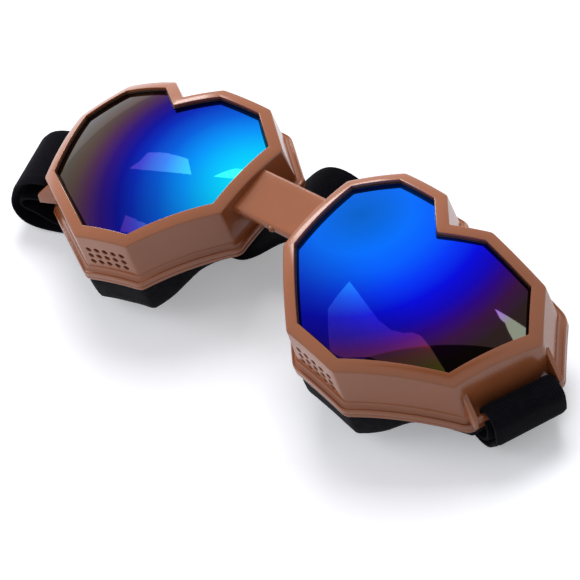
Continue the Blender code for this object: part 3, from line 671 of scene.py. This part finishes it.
def build_foam(side, name):
    """Face foam with full sides, a soft foot and a slightly uneven skin."""
    outer = FLARE + FLANGE + BEAD - FOAM_INSET
    top = LEVEL["foam_top"]
    shape = [Vector(place) for place in FOAM_SECTION]
    section = []
    for a, b in zip(shape, shape[1:] + shape[:1]):
        steps = max(1, round(abs(a.x - b.x) * FOAM_STEPS_OUT + abs(a.y - b.y) * FOAM_STEPS_DEEP))
        section += [(outer + place.x * MM, place.y) for place in straight(a, b, steps)]

    def drop(share, corner):
        return top + share * (foam_depth(corner) + FOAM_SAG * low_side(corner))

    def spread_out(corner, t):
        return FOAM_FULL * low_side(corner) if t > outer - FOAM_BULGE_REACH else 0

    foam = ring_object(name + "_foam_pad", side, section, MATERIALS["foam"], drop, spread_out)
    mesh = foam.data
    normals = [vertex.normal.copy() for vertex in mesh.vertices]
    matrix = REST @ cup_matrix(side)
    middle = matrix @ Vector((0, 0, -top))
    for vertex, normal in zip(mesh.vertices, normals):
        if (vertex.co - middle).dot(matrix.to_3x3() @ UP) > -FOAM_SKIN_START:
            continue
        rough = sum(noise.noise(vertex.co * scale) * height for scale, height in FOAM_SKIN)
        vertex.co += normal * rough * MM
    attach(foam, name + "_cup")
    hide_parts(name + "_face_foam")


# Nose bridge

def hinge_ends():
    """Axis of the right cup's bend at the bridge, as in the model."""
    points = corners()
    wall = edge_frame(1, BRIDGE_EDGE)[2].to_3d() * FLARE - UP * WALL_HEIGHT
    crossings = []
    for index in BRIDGE_EDGE:
        top = on_dome(1, points[index])
        foot = cup_matrix(1) @ (top + wall)
        top = cup_matrix(1) @ top
        crossings.append(top.lerp(foot, top.z / (top.z - foot.z)))
    low, high = sorted(crossings, key=lambda place: place.y)
    inset = Vector((-(BRIDGE_THICK / 2 + GAP), 0, 0))
    ends = []
    for y in (BRIDGE_Y - BRIDGE_WIDTH / 2, BRIDGE_Y + BRIDGE_WIDTH / 2):
        ends.append(low.lerp(high, (y - low.y) / (high.y - low.y)) + inset)
    return ends


def bridge_half(name, side):
    """One half of the plate, from the seam into the wall of its cup."""
    low, high = hinge_ends()
    half = BRIDGE_THICK / 2
    section = rounded([(0, -half, BRIDGE_FOOT_EASE), (0, half, BRIDGE_TOP_EASE),
                       (BRIDGE_WIDTH, half, BRIDGE_TOP_EASE), (BRIDGE_WIDTH, -half, BRIDGE_FOOT_EASE)])
    dense = []
    for point, following in zip(section, section[1:] + section[:1]):
        dense += straight(point, following, max(1, round((following - point).length / BRIDGE_STEP)))
    bury = GAP + half + BRIDGE_BURY
    verts = []
    for row in range(BRIDGE_ROWS + 1):
        share = row / BRIDGE_ROWS
        for y, z in dense:
            end = side * (low.lerp(high, y / BRIDGE_WIDTH).x + bury)
            x = BRIDGE_SEAM + (end - BRIDGE_SEAM) * share
            verts.append(REST @ Vector((x, BRIDGE_Y - BRIDGE_WIDTH / 2 + y, z)))
    plate = mesh_object(name, verts, capped_tube(BRIDGE_ROWS + 1, len(dense)), MATERIALS["plastic"])
    hinge = (low + high) / 2
    end = REST @ Vector((side * (hinge.x + half), hinge.y, 0))
    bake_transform(plate)
    return plate


def build_bridge():
    right = bridge_half("bridge_right_half", 1)
    left = bridge_half("bridge_left_half", -1)
    start = REST @ Vector((GATE_X, BRIDGE_Y - BRIDGE_WIDTH / 2, 0))
    solid = turned(GATE_PROFILE, start, REST.to_3x3() @ Vector((0, -1, 0)), VENT_SIDES)
    gate = mesh_object("moulding_gate", *solid, MATERIALS["plastic"])
    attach(gate, "bridge")
    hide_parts("nose_bridge")
    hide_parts("nose_bridge")


# Strap

def bar_at_rest(side):
    matrix = REST @ cup_matrix(side)
    middle, axis, out, _ = bar_frame(side)
    out = matrix.to_3x3() @ out
    return matrix @ middle, matrix.to_3x3() @ axis, Vector((out.x, out.y, 0)).normalized()


STAND = Vector((REST.translation.x, REST.translation.y, 0))
BARS = {side: bar_at_rest(side) for side in (1, -1)}
JOIN = BARS[1][0] - BARS[1][2] * JOIN_REACH - STAND


def floor_route(x):
    """Centre and width direction of the strap on the table, as in the model."""
    out = BARS[1][2]
    steep = out.y / out.x * JOIN.x
    t = abs(x) / JOIN.x
    y = MIDDLE_Y * (2 * t ** 3 - 3 * t ** 2 + 1) + JOIN.y * (3 * t ** 2 - 2 * t ** 3)
    y += steep * (t ** 3 - t ** 2)
    slope = (6 * (MIDDLE_Y - JOIN.y) * (t ** 2 - t) + steep * (3 * t ** 2 - 2 * t)) / JOIN.x
    slope = math.copysign(1, x) * slope
    swell = math.cos(math.pi / 2 * abs(x) / ARCH_X) ** 2 if abs(x) < ARCH_X else 0
    away = abs(x - SLIDER_X) - SLIDER_TRAVEL - SLIDER_LENGTH / 2
    lift = (SLIDER_WALL + GAP) * eased(1 - clamp(away / SLIDER_LENGTH))
    flat = Vector((-slope, 1, 0)).normalized()
    rise = ARCH_TWIST * swell / (STRAP_WIDTH / 2)
    centre = STAND + Vector((x, y, STRAP_THICK / 2 + ARCH_HEIGHT * swell + lift))
    return centre, Vector((flat.x, flat.y, rise)).normalized()


def run_route(start, end):
    count = max(2, round(abs(end - start) / STRAP_STEP))
    return [floor_route(start + (end - start) * step / count) for step in range(-1, count + 2)]


def curve(points, steps=LOOP_STEPS):
    a, b, c, d = (Vector(point) for point in points)
    places = []
    for step in range(steps):
        t = step / steps
        places.append(a * (1 - t) ** 3 + b * 3 * t * (1 - t) ** 2 + c * 3 * t * t * (1 - t) + d * t ** 3)
    return places


def bar_arc(radius, start, end, steps=LOOP_STEPS):
    places = []
    for step in range(steps):
        angle = math.radians(start + (end - start) * step / steps)
        places.append(Vector((radius * math.cos(angle), radius * math.sin(angle))))
    return places


def straight(start, end, steps=4):
    return [Vector(start).lerp(Vector(end), step / steps) for step in range(steps)]


def loop_route(side, places):
    middle, axis, out = BARS[side]
    level = Vector((-side * out.y, side * out.x, 0))
    places = [2 * places[0] - places[1], *places, 2 * places[-1] - places[-2]]
    route = []
    for place in places:
        share = clamp(-place.y / (middle.z - 3 * STRAP_THICK))
        route.append((middle + out * place.x + UP * place.y, axis.lerp(level, share).normalized()))
    return route


def loop_levels():
    """The strap's radius round the bar, its lower and upper layer, and where it leaves the bar's slot."""
    ring = BAR_RADIUS + GAP + STRAP_THICK / 2
    floor = STRAP_THICK / 2 - BARS[1][0].z
    return ring, floor, floor + STRAP_THICK + GAP, bar_arc(ring, 180 + SLOT_WRAP, 90)[0]


def scaled(shares, outward_size, upward_size):
    return [Vector((out * outward_size, up * upward_size)) for out, up in shares]


def right_loop_places():
    """Up from the second layer through the slot, over the bar and down outside it to the table."""
    ring, floor, second, start = loop_levels()
    join = -JOIN_REACH
    flat = -FLAT_REACH
    shoulder = Vector((RIGHT_BULGE, -RIGHT_SHOULDER_DROP))
    top = scaled(RIGHT_TOP_SHARES, RIGHT_BULGE, ring)
    bend = scaled(RIGHT_BEND_SHARES, RIGHT_BULGE, -RIGHT_DROP)
    foot = Vector((RIGHT_BULGE * RIGHT_FOOT_SHARES[0], -RIGHT_DROP * RIGHT_FOOT_SHARES[1]))
    corner, entry, below = (share * ring for share in RIGHT_RISE_SHARES)
    places = straight((join, second), (flat, second))
    places += curve([(flat, second), (corner, second), (entry, -below), start])
    places += bar_arc(ring, 180 + SLOT_WRAP, 90)
    places += curve([(0, ring), *top, shoulder])
    places += curve([shoulder, *bend])
    places += curve([bend[-1], foot, (0, floor), (flat, floor)])
    places += straight((flat, floor), (join, floor))
    return places + [Vector((join, floor))]


def left_loop_places():
    """Out along the table, up and over to the slot, round the bar and back in a fold inside the loop."""
    ring, floor, second, wrapped = loop_levels()
    join = -JOIN_REACH
    flat = -FLAT_REACH
    top = ring + LEFT_SLACK
    foot = scaled(LEFT_FOOT_SHARES, LEFT_BULGE, floor)
    side = scaled(LEFT_SIDE_SHARES, LEFT_BULGE, floor)
    over = scaled(LEFT_TOP_SHARES, LEFT_BULGE, top)
    crest = Vector((ring / 2, top))
    back = scaled(INNER_TOP_SHARES, INNER_BULGE, -ring)
    fold = scaled(INNER_FOLD_SHARES, INNER_BULGE, floor)
    places = straight((join, floor), (flat, floor))
    places += curve([(flat, floor), *foot])
    places += curve([foot[-1], *side])
    places += curve([side[-1], *over, crest])
    entry = (-ring * LEFT_ENTRY_SHARES[0], top)
    places += curve([crest, entry, (-ring, top * LEFT_ENTRY_SHARES[1]), (-ring, 0)])
    places += bar_arc(ring, 180, 180 + SLOT_WRAP, LOOP_STEPS // 2)
    places += curve([wrapped, *back[:3]])
    places += curve([back[2], back[3], *fold[:2]])
    places += curve([fold[1], fold[2], (0, second), (flat, second)])
    places += straight((flat, second), (join, second))
    return places + [Vector((join, second))]


def band(name, route, near=0.0):
    """Woven elastic along a route: a flat band with soft edges, drawn in by near on its first side."""
    start = -STRAP_WIDTH / 2 + near
    end = STRAP_WIDTH / 2
    section = []
    for step in range(STRAP_COLUMNS + 1):
        across = start + (end - start) * step / STRAP_COLUMNS
        edge = max(0.0, 1 - min(across - start, end - across) / SELVEDGE)
        section.append((across, STRAP_THICK / 2 * math.sqrt(1 - edge * edge * SELVEDGE_SHARE)))
    section += [(across, -height) for across, height in reversed(section)]
    verts = []
    along = running([centre for centre, _ in route[1:]])
    for before, (centre, width), after in zip(route, route[1:], route[2:]):
        tangent = (after[0] - before[0]).normalized()
        flat = (width - tangent * width.dot(tangent)).normalized()
        normal = tangent.cross(flat).normalized()
        for across, height in section:
            verts.append(centre + flat * across + normal * height)
    rows = len(route) - 2
    count = len(section)
    uvs = []
    for row in range(rows - 1):
        for column in range(count):
            a, b = section[column][0], section[(column + 1) % count][0]
            uvs.append(((along[row], a), (along[row], b), (along[row + 1], b), (along[row + 1], a)))
    for row in (0, rows - 1):
        uvs.append([(along[row], across) for across, _ in section])
    piece = mesh_object(name, verts, capped_tube(rows, count), MATERIALS["elastic"], uvs, STRAP_SHARP_ANGLE)
    return piece


def build_strap():
    """The whole elastic, in pieces; the bands between the arch and the loops ride their cups."""
    for side, name in SIDES:
        route = loop_route(side, right_loop_places() if side == 1 else left_loop_places())
        piece = band(name + "_strap_fold", route, FOLD_NARROWED if side == 1 else 0.0)
        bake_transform(piece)
        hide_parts(name + "_strap_loop")
    for side, name in SIDES:
        piece = band(name + "_strap_band", run_route(side * ARCH_X, side * JOIN.x))
        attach(piece, name + "_cup")
        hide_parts(name + "_strap_run")
        piece = band(name + "_strap_arch_half", run_route(0.0, side * ARCH_X))
        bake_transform(piece)
        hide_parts("strap_arch")
    layer = STRAP_THICK + GAP
    end = SLIDER_X + SLIDER_LENGTH / 2
    start = -JOIN.x
    high = 2 * SLIDER_WALL + 3 * GAP + STRAP_THICK - layer
    rise_from = SLIDER_X - HEM_LENGTH
    route = []
    for centre, width in run_route(start, end):
        lift = layer + high * eased((centre.x - STAND.x - rise_from) / HEM_RISE)
        route.append((centre + UP * lift, width))
    tail = band("left_strap_return", route)
    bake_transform(tail)
    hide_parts("left_strap_tail", "strap_hem")


# Materials

# Millimetres to one unit of a lens's map, and from thread to thread of the elastic
LENS_MAP = 100
CORD_PITCH = 1.0
PICK_PITCH = 0.6
WAVE_TURN = 6.2832


def nodes_of(name):
    material = bpy.data.materials.new(name)
    material.use_nodes = True
    tree = material.node_tree
    return material, tree, tree.nodes["Principled BSDF"]


def add(tree, kind, **inputs):
    node = tree.nodes.new("ShaderNode" + kind)
    for key, value in inputs.items():
        if key in node.inputs:
            node.inputs[key].default_value = value
        else:
            setattr(node, key, value)
    return node


def wire(source, output, target, socket):
    """Links an output of one node to an input of another."""
    source.id_data.links.new(source.outputs[output], target.inputs[socket])


def put(node, values):
    for socket, value in values.items():
        node.inputs[socket].default_value = value


def ramp(tree, stops):
    node = add(tree, "ValToRGB")
    elements = node.color_ramp.elements
    while len(elements) > 1:
        elements.remove(elements[0])
    elements[0].position, elements[0].color = stops[0][0], (*stops[0][1], 1)
    for position, colour in stops[1:]:
        elements.new(position).color = (*colour, 1)
    return node


def texture(place, kind, output="Object", **values):
    """A texture over the places that a node gives out."""
    node = add(place.id_data, kind, **values)
    wire(place, output, node, "Vector")
    return node


def bump(source, strength, distance):
    node = add(source.id_data, "Bump", Strength=strength, Distance=distance)
    wire(source, 0, node, "Height")
    return node


def coloured(shader, source, stops):
    """Colours a surface by a texture's value."""
    shade = ramp(source.id_data, stops)
    wire(source, 0, shade, "Fac")
    wire(shade, "Color", shader, "Base Color")


def remapped(source, output, low, high, least, most, kind="LINEAR"):
    """A value spread from one range to another."""
    node = add(source.id_data, "MapRange", interpolation_type=kind)
    put(node, {"From Min": low, "From Max": high, "To Min": least, "To Max": most})
    wire(source, output, node, "Value")
    return node


def larger(source, output, other, other_output):
    node = add(source.id_data, "Math", operation="MAXIMUM")
    wire(source, output, node, 0)
    wire(other, other_output, node, 1)
    return node


def linear(r, g, b):
    """A colour written as it looks on screen, 0 to 255, in the shader's own units."""
    made = []
    for value in (r, g, b):
        value /= 255
        made.append(value / 12.92 if value <= 0.04045 else ((value + 0.055) / 1.055) ** 2.4)
    return tuple(made)


def plastic():
    """Glossy brown moulding: slight flow marks in the colour and a faintly uneven polish."""
    material, tree, shader = nodes_of("brown_moulding")
    place = add(tree, "TexCoord")
    flow = texture(place, "TexNoise", Scale=38.0, Detail=3.0, Roughness=0.55)
    coloured(shader, flow, ((0.3, linear(136, 76, 43)), (0.7, linear(144, 82, 48))))
    wire(remapped(flow, "Fac", 0.3, 0.7, 0.15, 0.2), "Result", shader, "Roughness")
    waves = texture(place, "TexNoise", Scale=160.0, Detail=2.0)
    wire(bump(waves, 0.03, 0.0003), "Normal", shader, "Normal")
    return material


def lens_material(name, centre, stops, painted_dark_reflection):
    """Mirror coating whose colours run in rings round a place on the lens, in millimetres: partly the
    coating's own gradient and partly painted reflection.

    The map holds the lens's own places. A painted dark reflection dims the colour towards the lens's foot;
    its argument gives the share at the first height, and the two heights between which it rises to full.
    """
    material, tree, shader = nodes_of(name)
    place = add(tree, "UVMap", uv_map="flow")
    away = add(tree, "VectorMath", operation="DISTANCE")
    put(away, {1: (0.5 + centre[0] / LENS_MAP, 0.5 + centre[1] / LENS_MAP, 0)})
    wire(place, "UV", away, 0)
    # The rings' colours are partly the coating's own gradient and partly painted reflection
    colours = ramp(tree, [(radius / LENS_MAP, linear(*colour)) for radius, colour in stops])
    wire(away, "Value", colours, "Fac")
    split = add(tree, "SeparateXYZ")
    wire(place, "UV", split, "Vector")
    # Painted dark reflection: the colour dims towards the lens's foot
    dim, low, high = painted_dark_reflection
    rise = remapped(split, "Y", 0.5 + low / LENS_MAP, 0.5 + high / LENS_MAP, dim, 1.0, "SMOOTHSTEP")
    shaded = add(tree, "VectorMath", operation="SCALE")
    wire(colours, "Color", shaded, 0)
    wire(rise, "Result", shaded, "Scale")
    wire(shaded, "Vector", shader, "Base Color")
    put(shader, {"Metallic": 1.0, "Roughness": 0.03, "Specular Tint": (0.5, 0.5, 0.52, 1),
                 "Coat Weight": 0.05, "Coat Roughness": 0.02})
    return material


def rubber():
    material, tree, shader = nodes_of("black_rubber")
    speck = texture(add(tree, "TexCoord"), "TexNoise", Scale=900.0, Detail=2.0)
    coloured(shader, speck, ((0.35, (0.006, 0.006, 0.007)), (0.65, (0.014, 0.014, 0.016))))
    return material


def foam():
    """Black foam with a brushed fabric skin."""
    material, tree, shader = nodes_of("black_foam_skin")
    place = add(tree, "TexCoord")
    cells = texture(place, "TexVoronoi", Scale=1700.0)
    nap = texture(place, "TexNoise", Scale=420.0, Detail=4.0, Roughness=0.7)
    coloured(shader, nap, ((0.3, (0.002, 0.002, 0.003)), (0.75, (0.009, 0.009, 0.012))))
    fuzz = bump(nap, 0.5, 0.0003)
    wire(bump(cells, 0.6, 0.00018), "Normal", fuzz, "Normal")
    wire(fuzz, "Normal", shader, "Normal")
    put(shader, {"Roughness": 0.95, "Specular IOR Level": 0.05, "Sheen Weight": 0.04,
                 "Sheen Roughness": 0.5})
    return material


def elastic():
    """Black woven elastic: lengthwise rubber cords under a fine cross weave, with a little lint."""
    material, tree, shader = nodes_of("black_woven_elastic")
    place = add(tree, "UVMap", uv_map="flow")
    weave = add(tree, "Math", operation="MULTIPLY")
    for index, (direction, pitch) in enumerate((("Y", CORD_PITCH), ("X", PICK_PITCH))):
        threads = texture(place, "TexWave", "UV", bands_direction=direction,
                          Scale=1000 / pitch / WAVE_TURN * 2)
        wire(threads, "Fac", weave, index)
    lint = texture(add(tree, "TexCoord"), "TexNoise", Scale=700.0, Detail=4.0, Roughness=0.7)
    mix = add(tree, "Math", operation="MULTIPLY_ADD")
    put(mix, {1: 0.6})
    wire(weave, 0, mix, 0)
    wire(lint, "Fac", mix, 2)
    coloured(shader, mix, ((0.35, (0.0015, 0.0015, 0.0025)), (1.0, (0.006, 0.006, 0.009))))
    wire(bump(mix, 0.25, 0.00015), "Normal", shader, "Normal")
    put(shader, {"Roughness": 0.9, "Specular IOR Level": 0.05, "Sheen Weight": 0.03,
                 "Sheen Roughness": 0.45})
    return material


def slider_plastic():
    material, tree, shader = nodes_of("black_slider_plastic")
    grain = texture(add(tree, "TexCoord"), "TexNoise", Scale=1100.0, Detail=2.0)
    coloured(shader, grain, ((0.35, (0.008, 0.008, 0.009)), (0.65, (0.017, 0.017, 0.019))))
    wire(bump(grain, 0.15, 0.00005), "Normal", shader, "Normal")
    put(shader, {"Roughness": 0.42})
    return material


# Colours of the coating at distances in millimetres from a place on each lens: partly the coating's own
# gradient and partly painted reflection
LEFT_STOPS = ((10, (0, 222, 252)), (16, (0, 198, 255)), (24, (0, 150, 252)), (32, (0, 95, 222)),
              (40, (0, 44, 190)), (45, (6, 16, 160)), (51, (48, 16, 128)), (57, (84, 46, 90)),
              (63, (96, 76, 68)), (69, (100, 92, 80)), (75, (108, 106, 102)))
RIGHT_STOPS = ((0, (0, 98, 205)), (8, (0, 105, 228)), (15, (0, 112, 255)), (22, (0, 95, 255)),
               (29, (0, 56, 248)), (35, (0, 6, 222)), (40, (14, 0, 180)), (44, (42, 0, 122)),
               (48, (56, 16, 66)), (53, (42, 30, 28)))
LEFT_CENTRE = (-42, 3)
RIGHT_CENTRE = (-22, 12)
# Painted dark reflection on each lens: its share of the colour at the foot, and the heights in millimetres
# between which it rises to full
LEFT_PAINTED_DARK_REFLECTION = (0.65, -20, 8)
RIGHT_PAINTED_DARK_REFLECTION = (0.42, -22, 5)
MATERIALS = {
    "plastic": plastic(),
    "left_lens": lens_material("left_coating_with_painted_reflection", LEFT_CENTRE, LEFT_STOPS, LEFT_PAINTED_DARK_REFLECTION),
    "right_lens": lens_material("right_coating_with_painted_reflection", RIGHT_CENTRE, RIGHT_STOPS, RIGHT_PAINTED_DARK_REFLECTION),
    "rubber": rubber(),
    "foam": foam(),
    "elastic": elastic(),
    "slider": slider_plastic(),
}


# Stage, light and camera

PHOTO = 580
SENSOR = 36
FOCAL = 184.8
SHIFT_X = 37 / PHOTO
SHIFT_Y = -51 / PHOTO

# Outlines of the studio's panels where the photograph shows them in the lenses
LEFT_PANELS = (
    ((129.5, 168.5), (140, 161), (148, 152.5), (160, 152.5), (170, 154), (188, 159), (191.5, 174.5),
     (176, 173), (160, 171.5), (144, 170)),
    ((213.7, 176.6), (224, 172), (235, 168.8), (250, 170.5), (242, 179.3), (228, 178)),
    ((120, 231.7), (125.5, 215.3), (147.7, 224.8), (130, 233)),
)
RIGHT_PANEL = ((349.5, 281.5), (328, 309), (330, 352), (345, 358), (369.5, 357), (390, 352.5), (413, 348.5),
               (432, 348), (423, 336.5), (412, 332.5), (403, 333), (391, 330), (378, 320), (367, 305))
RIGHT_HAZE = ((369.5, 357), (390, 352.5), (413, 348.5), (432, 348), (441, 362), (449, 380), (400, 372))
RIGHT_FLAG = ((360, 360), (415, 347), (455, 345), (480, 346), (507, 350), (447, 376))
RIGHT_STRIP = ((495, 309), (516, 345.5), (530, 342), (529, 330))
LEFT_PANEL_COLOUR = (13.0, 1.3, 0.4)
RIGHT_PANEL_COLOUR = (3.5, 2.4, 0.4)
HAZE_COLOUR = (1.8, 2.6, 0.4)
FLAG_COLOUR = (0.12, 0.12, 0.12)
STRIP_COLOUR = (9.0, 17.0, 14.0)

# The camera's place, from the fit of both cups' outlines, in degrees and metres
CAMERA_AZIMUTH = 58.6
CAMERA_ELEVATION = 50.0
CAMERA_ROLL = -24.7
CAMERA_DISTANCE = 0.865
FLOOR_HALF = 0.8

# Heights over a cup's crown between which a camera ray meets the lens, and the halvings that find it
LENS_ABOVE = 20 * MM
LENS_BELOW = -40 * MM
HALVINGS = 40

# The collection of each lens, which its own panels light
LIT = {}


def build_stage():
    material, tree, shader = nodes_of("white_floor")
    put(shader, {"Base Color": (0.90, 0.90, 0.93, 1), "Roughness": 0.9, "Specular IOR Level": 0.1})
    path = add(tree, "LightPath")
    glow = add(tree, "Emission", Strength=0.28)
    both = add(tree, "AddShader")
    seen = add(tree, "MixShader")
    wire(shader, 0, both, 0)
    wire(glow, 0, both, 1)
    wire(larger(path, "Is Camera Ray", path, "Is Glossy Ray"), 0, seen, 0)
    wire(shader, 0, seen, 1)
    wire(both, 0, seen, 2)
    wire(seen, 0, tree.nodes["Material Output"], "Surface")
    size = FLOOR_HALF
    floor = mesh_object("floor", [(-size, -size, 0), (size, -size, 0), (size, size, 0), (-size, size, 0)],
                        [(0, 1, 2, 3)], material)
    floor.location.z = -0.1 * MM


def build_world():
    world = bpy.data.worlds.new("studio")
    world.use_nodes = True
    bpy.context.scene.world = world
    tree = world.node_tree
    plain = tree.nodes["Background"]
    put(plain, {"Color": (0.93, 0.95, 1.0, 1), "Strength": 0.42})
    white = add(tree, "Background", Color=(1, 1, 1, 1))
    path = add(tree, "LightPath")
    seen = larger(path, "Is Camera Ray", path, "Is Glossy Ray")
    mix = add(tree, "MixShader")
    wire(larger(seen, 0, path, "Is Transmission Ray"), 0, mix, 0)
    wire(plain, 0, mix, 1)
    wire(white, 0, mix, 2)
    wire(mix, 0, tree.nodes["World Output"], "Surface")


def towards(azimuth, elevation):
    """The direction from the goggles to a place in the room."""
    a, e = math.radians(azimuth), math.radians(elevation)
    return Vector((math.sin(a) * math.cos(e), -math.cos(a) * math.cos(e), math.sin(e)))


def area_light(name, azimuth, elevation, distance, size, energy, colour=(1, 1, 1)):
    """A square soft light that looks at the goggles."""
    lamp = bpy.data.lights.new(name, "AREA")
    lamp.size = size
    lamp.energy = energy
    lamp.color = colour
    item = placed(name, lamp)
    back = towards(azimuth, elevation)
    item.location = back * distance
    item.rotation_euler = back.to_track_quat("Z", "Y").to_euler()
    item.visible_glossy = False
    return item


def build_camera():
    """The photograph's camera, from the fit of both cups' outlines. It stands a little rolled."""
    data = bpy.data.cameras.new("photo_camera")
    data.sensor_width = SENSOR
    data.lens = FOCAL
    data.shift_x = SHIFT_X
    data.shift_y = SHIFT_Y
    data.clip_start = 0.01
    camera = placed("photo_camera", data)
    azimuth = math.radians(CAMERA_AZIMUTH)
    roll = math.radians(CAMERA_ROLL)
    back = towards(CAMERA_AZIMUTH, CAMERA_ELEVATION)
    level = Vector((math.cos(azimuth), math.sin(azimuth), 0))
    down = (-back).cross(level)
    right = level * math.cos(roll) - down * math.sin(roll)
    drop = level * math.sin(roll) + down * math.cos(roll)
    turn = Matrix((right, -drop, back)).transposed().to_4x4()
    camera.matrix_world = REST @ Matrix.Translation(back * CAMERA_DISTANCE) @ turn
    bpy.context.scene.camera = camera
    return camera


def lens_reflection(camera, side, place, distance):
    """The point that a place of the photograph shows by reflection in a lens, at one distance from it."""
    across, down = place
    aim = Vector(((across / PHOTO - 0.5 + SHIFT_X) * SENSOR / FOCAL,
                  (0.5 - down / PHOTO + SHIFT_Y) * SENSOR / FOCAL, -1))
    cup = REST @ cup_matrix(side)
    seen = cup.inverted() @ camera.matrix_world
    start = seen.translation
    ray = (seen.to_3x3() @ aim).normalized()
    near, far = ((level - start.z) / ray.z for level in (LENS_ABOVE, LENS_BELOW))
    for _ in range(HALVINGS):
        middle = (near + far) / 2
        point = start + ray * middle
        if point.z > dome(side * point.x, point.y) - SHOWN["lens_top"]:
            near = middle
        else:
            far = middle
    normal = Vector((side * (side * point.x - APEX_U) / DOME_ACROSS, (point.y - APEX_V) / DOME_ALONG, 1))
    return cup @ (point + ray.reflect(normal.normalized()) * distance)


def studio_panel(name, camera, side, traced, distance, colour, dark=False):
    """A panel of the studio that mirrors in one lens: a sheer bright one, or a dark one over the white."""
    material, tree, shader = nodes_of(name)
    glow = add(tree, "Emission", Color=(*colour, 1))
    sheer = add(tree, "BsdfTransparent")
    if dark:
        put(sheer, {"Color": (0, 0, 0, 1)})
    both = add(tree, "AddShader")
    wire(glow, 0, both, 0)
    wire(sheer, 0, both, 1)
    wire(both, 0, tree.nodes["Material Output"], "Surface")
    verts = [lens_reflection(camera, side, place, distance) for place in traced]
    panel = mesh_object(name, verts, [tuple(range(len(verts)))], material)
    for kind in ("camera", "diffuse", "transmission", "volume_scatter", "shadow"):
        setattr(panel, "visible_" + kind, False)
    if not dark:
        panel.light_linking.receiver_collection = LIT[side]


def build_panels(camera):
    for side, name in SIDES:
        LIT[side] = bpy.data.collections.new(name + "_lit")
        LIT[side].objects.link(bpy.data.objects[name + "_mirror_lens"])
    for index, traced in enumerate(LEFT_PANELS):
        studio_panel("left_panel_%d" % index, camera, -1, traced, 0.6, LEFT_PANEL_COLOUR)
    studio_panel("right_flag", camera, 1, RIGHT_FLAG, 0.4, FLAG_COLOUR, dark=True)
    studio_panel("right_panel", camera, 1, RIGHT_PANEL, 0.3, RIGHT_PANEL_COLOUR)
    studio_panel("right_haze", camera, 1, RIGHT_HAZE, 0.3, HAZE_COLOUR)
    studio_panel("right_strip", camera, 1, RIGHT_STRIP, 0.6, STRIP_COLOUR)


for cup_side, cup_name in SIDES:
    build_housing(cup_side, cup_name)
    build_lens(cup_side, cup_name)
    build_seal(cup_side, cup_name)
    build_carrier(cup_side, cup_name)
    build_foam(cup_side, cup_name)
build_bridge()
build_strap()
slider = frame["nodes"]["strap_slider"]
slider.data.materials.clear()
slider.data.materials.append(MATERIALS["slider"])
ease = slider.modifiers.new("eased edges", "BEVEL")
ease.width = SLIDER_EASE
ease.segments = 3

build_stage()
build_world()
area_light("key", azimuth=-150, elevation=58, distance=1.1, size=0.7, energy=9.0)
area_light("fill", azimuth=-50, elevation=28, distance=1.2, size=0.9, energy=6.0, colour=(0.95, 0.97, 1.0))
sheen = area_light("sheen", azimuth=-120, elevation=32, distance=1.2, size=0.6, energy=8.0)
sheen.visible_glossy = True
polished = bpy.data.collections.new("polished")
for item in list(bpy.context.scene.objects):
    if item.type == "MESH" and item.data.materials and item.data.materials[0] == MATERIALS["plastic"]:
        polished.objects.link(item)
sheen.light_linking.receiver_collection = polished
build_panels(build_camera())
bpy.context.scene.view_settings.view_transform = "Standard"
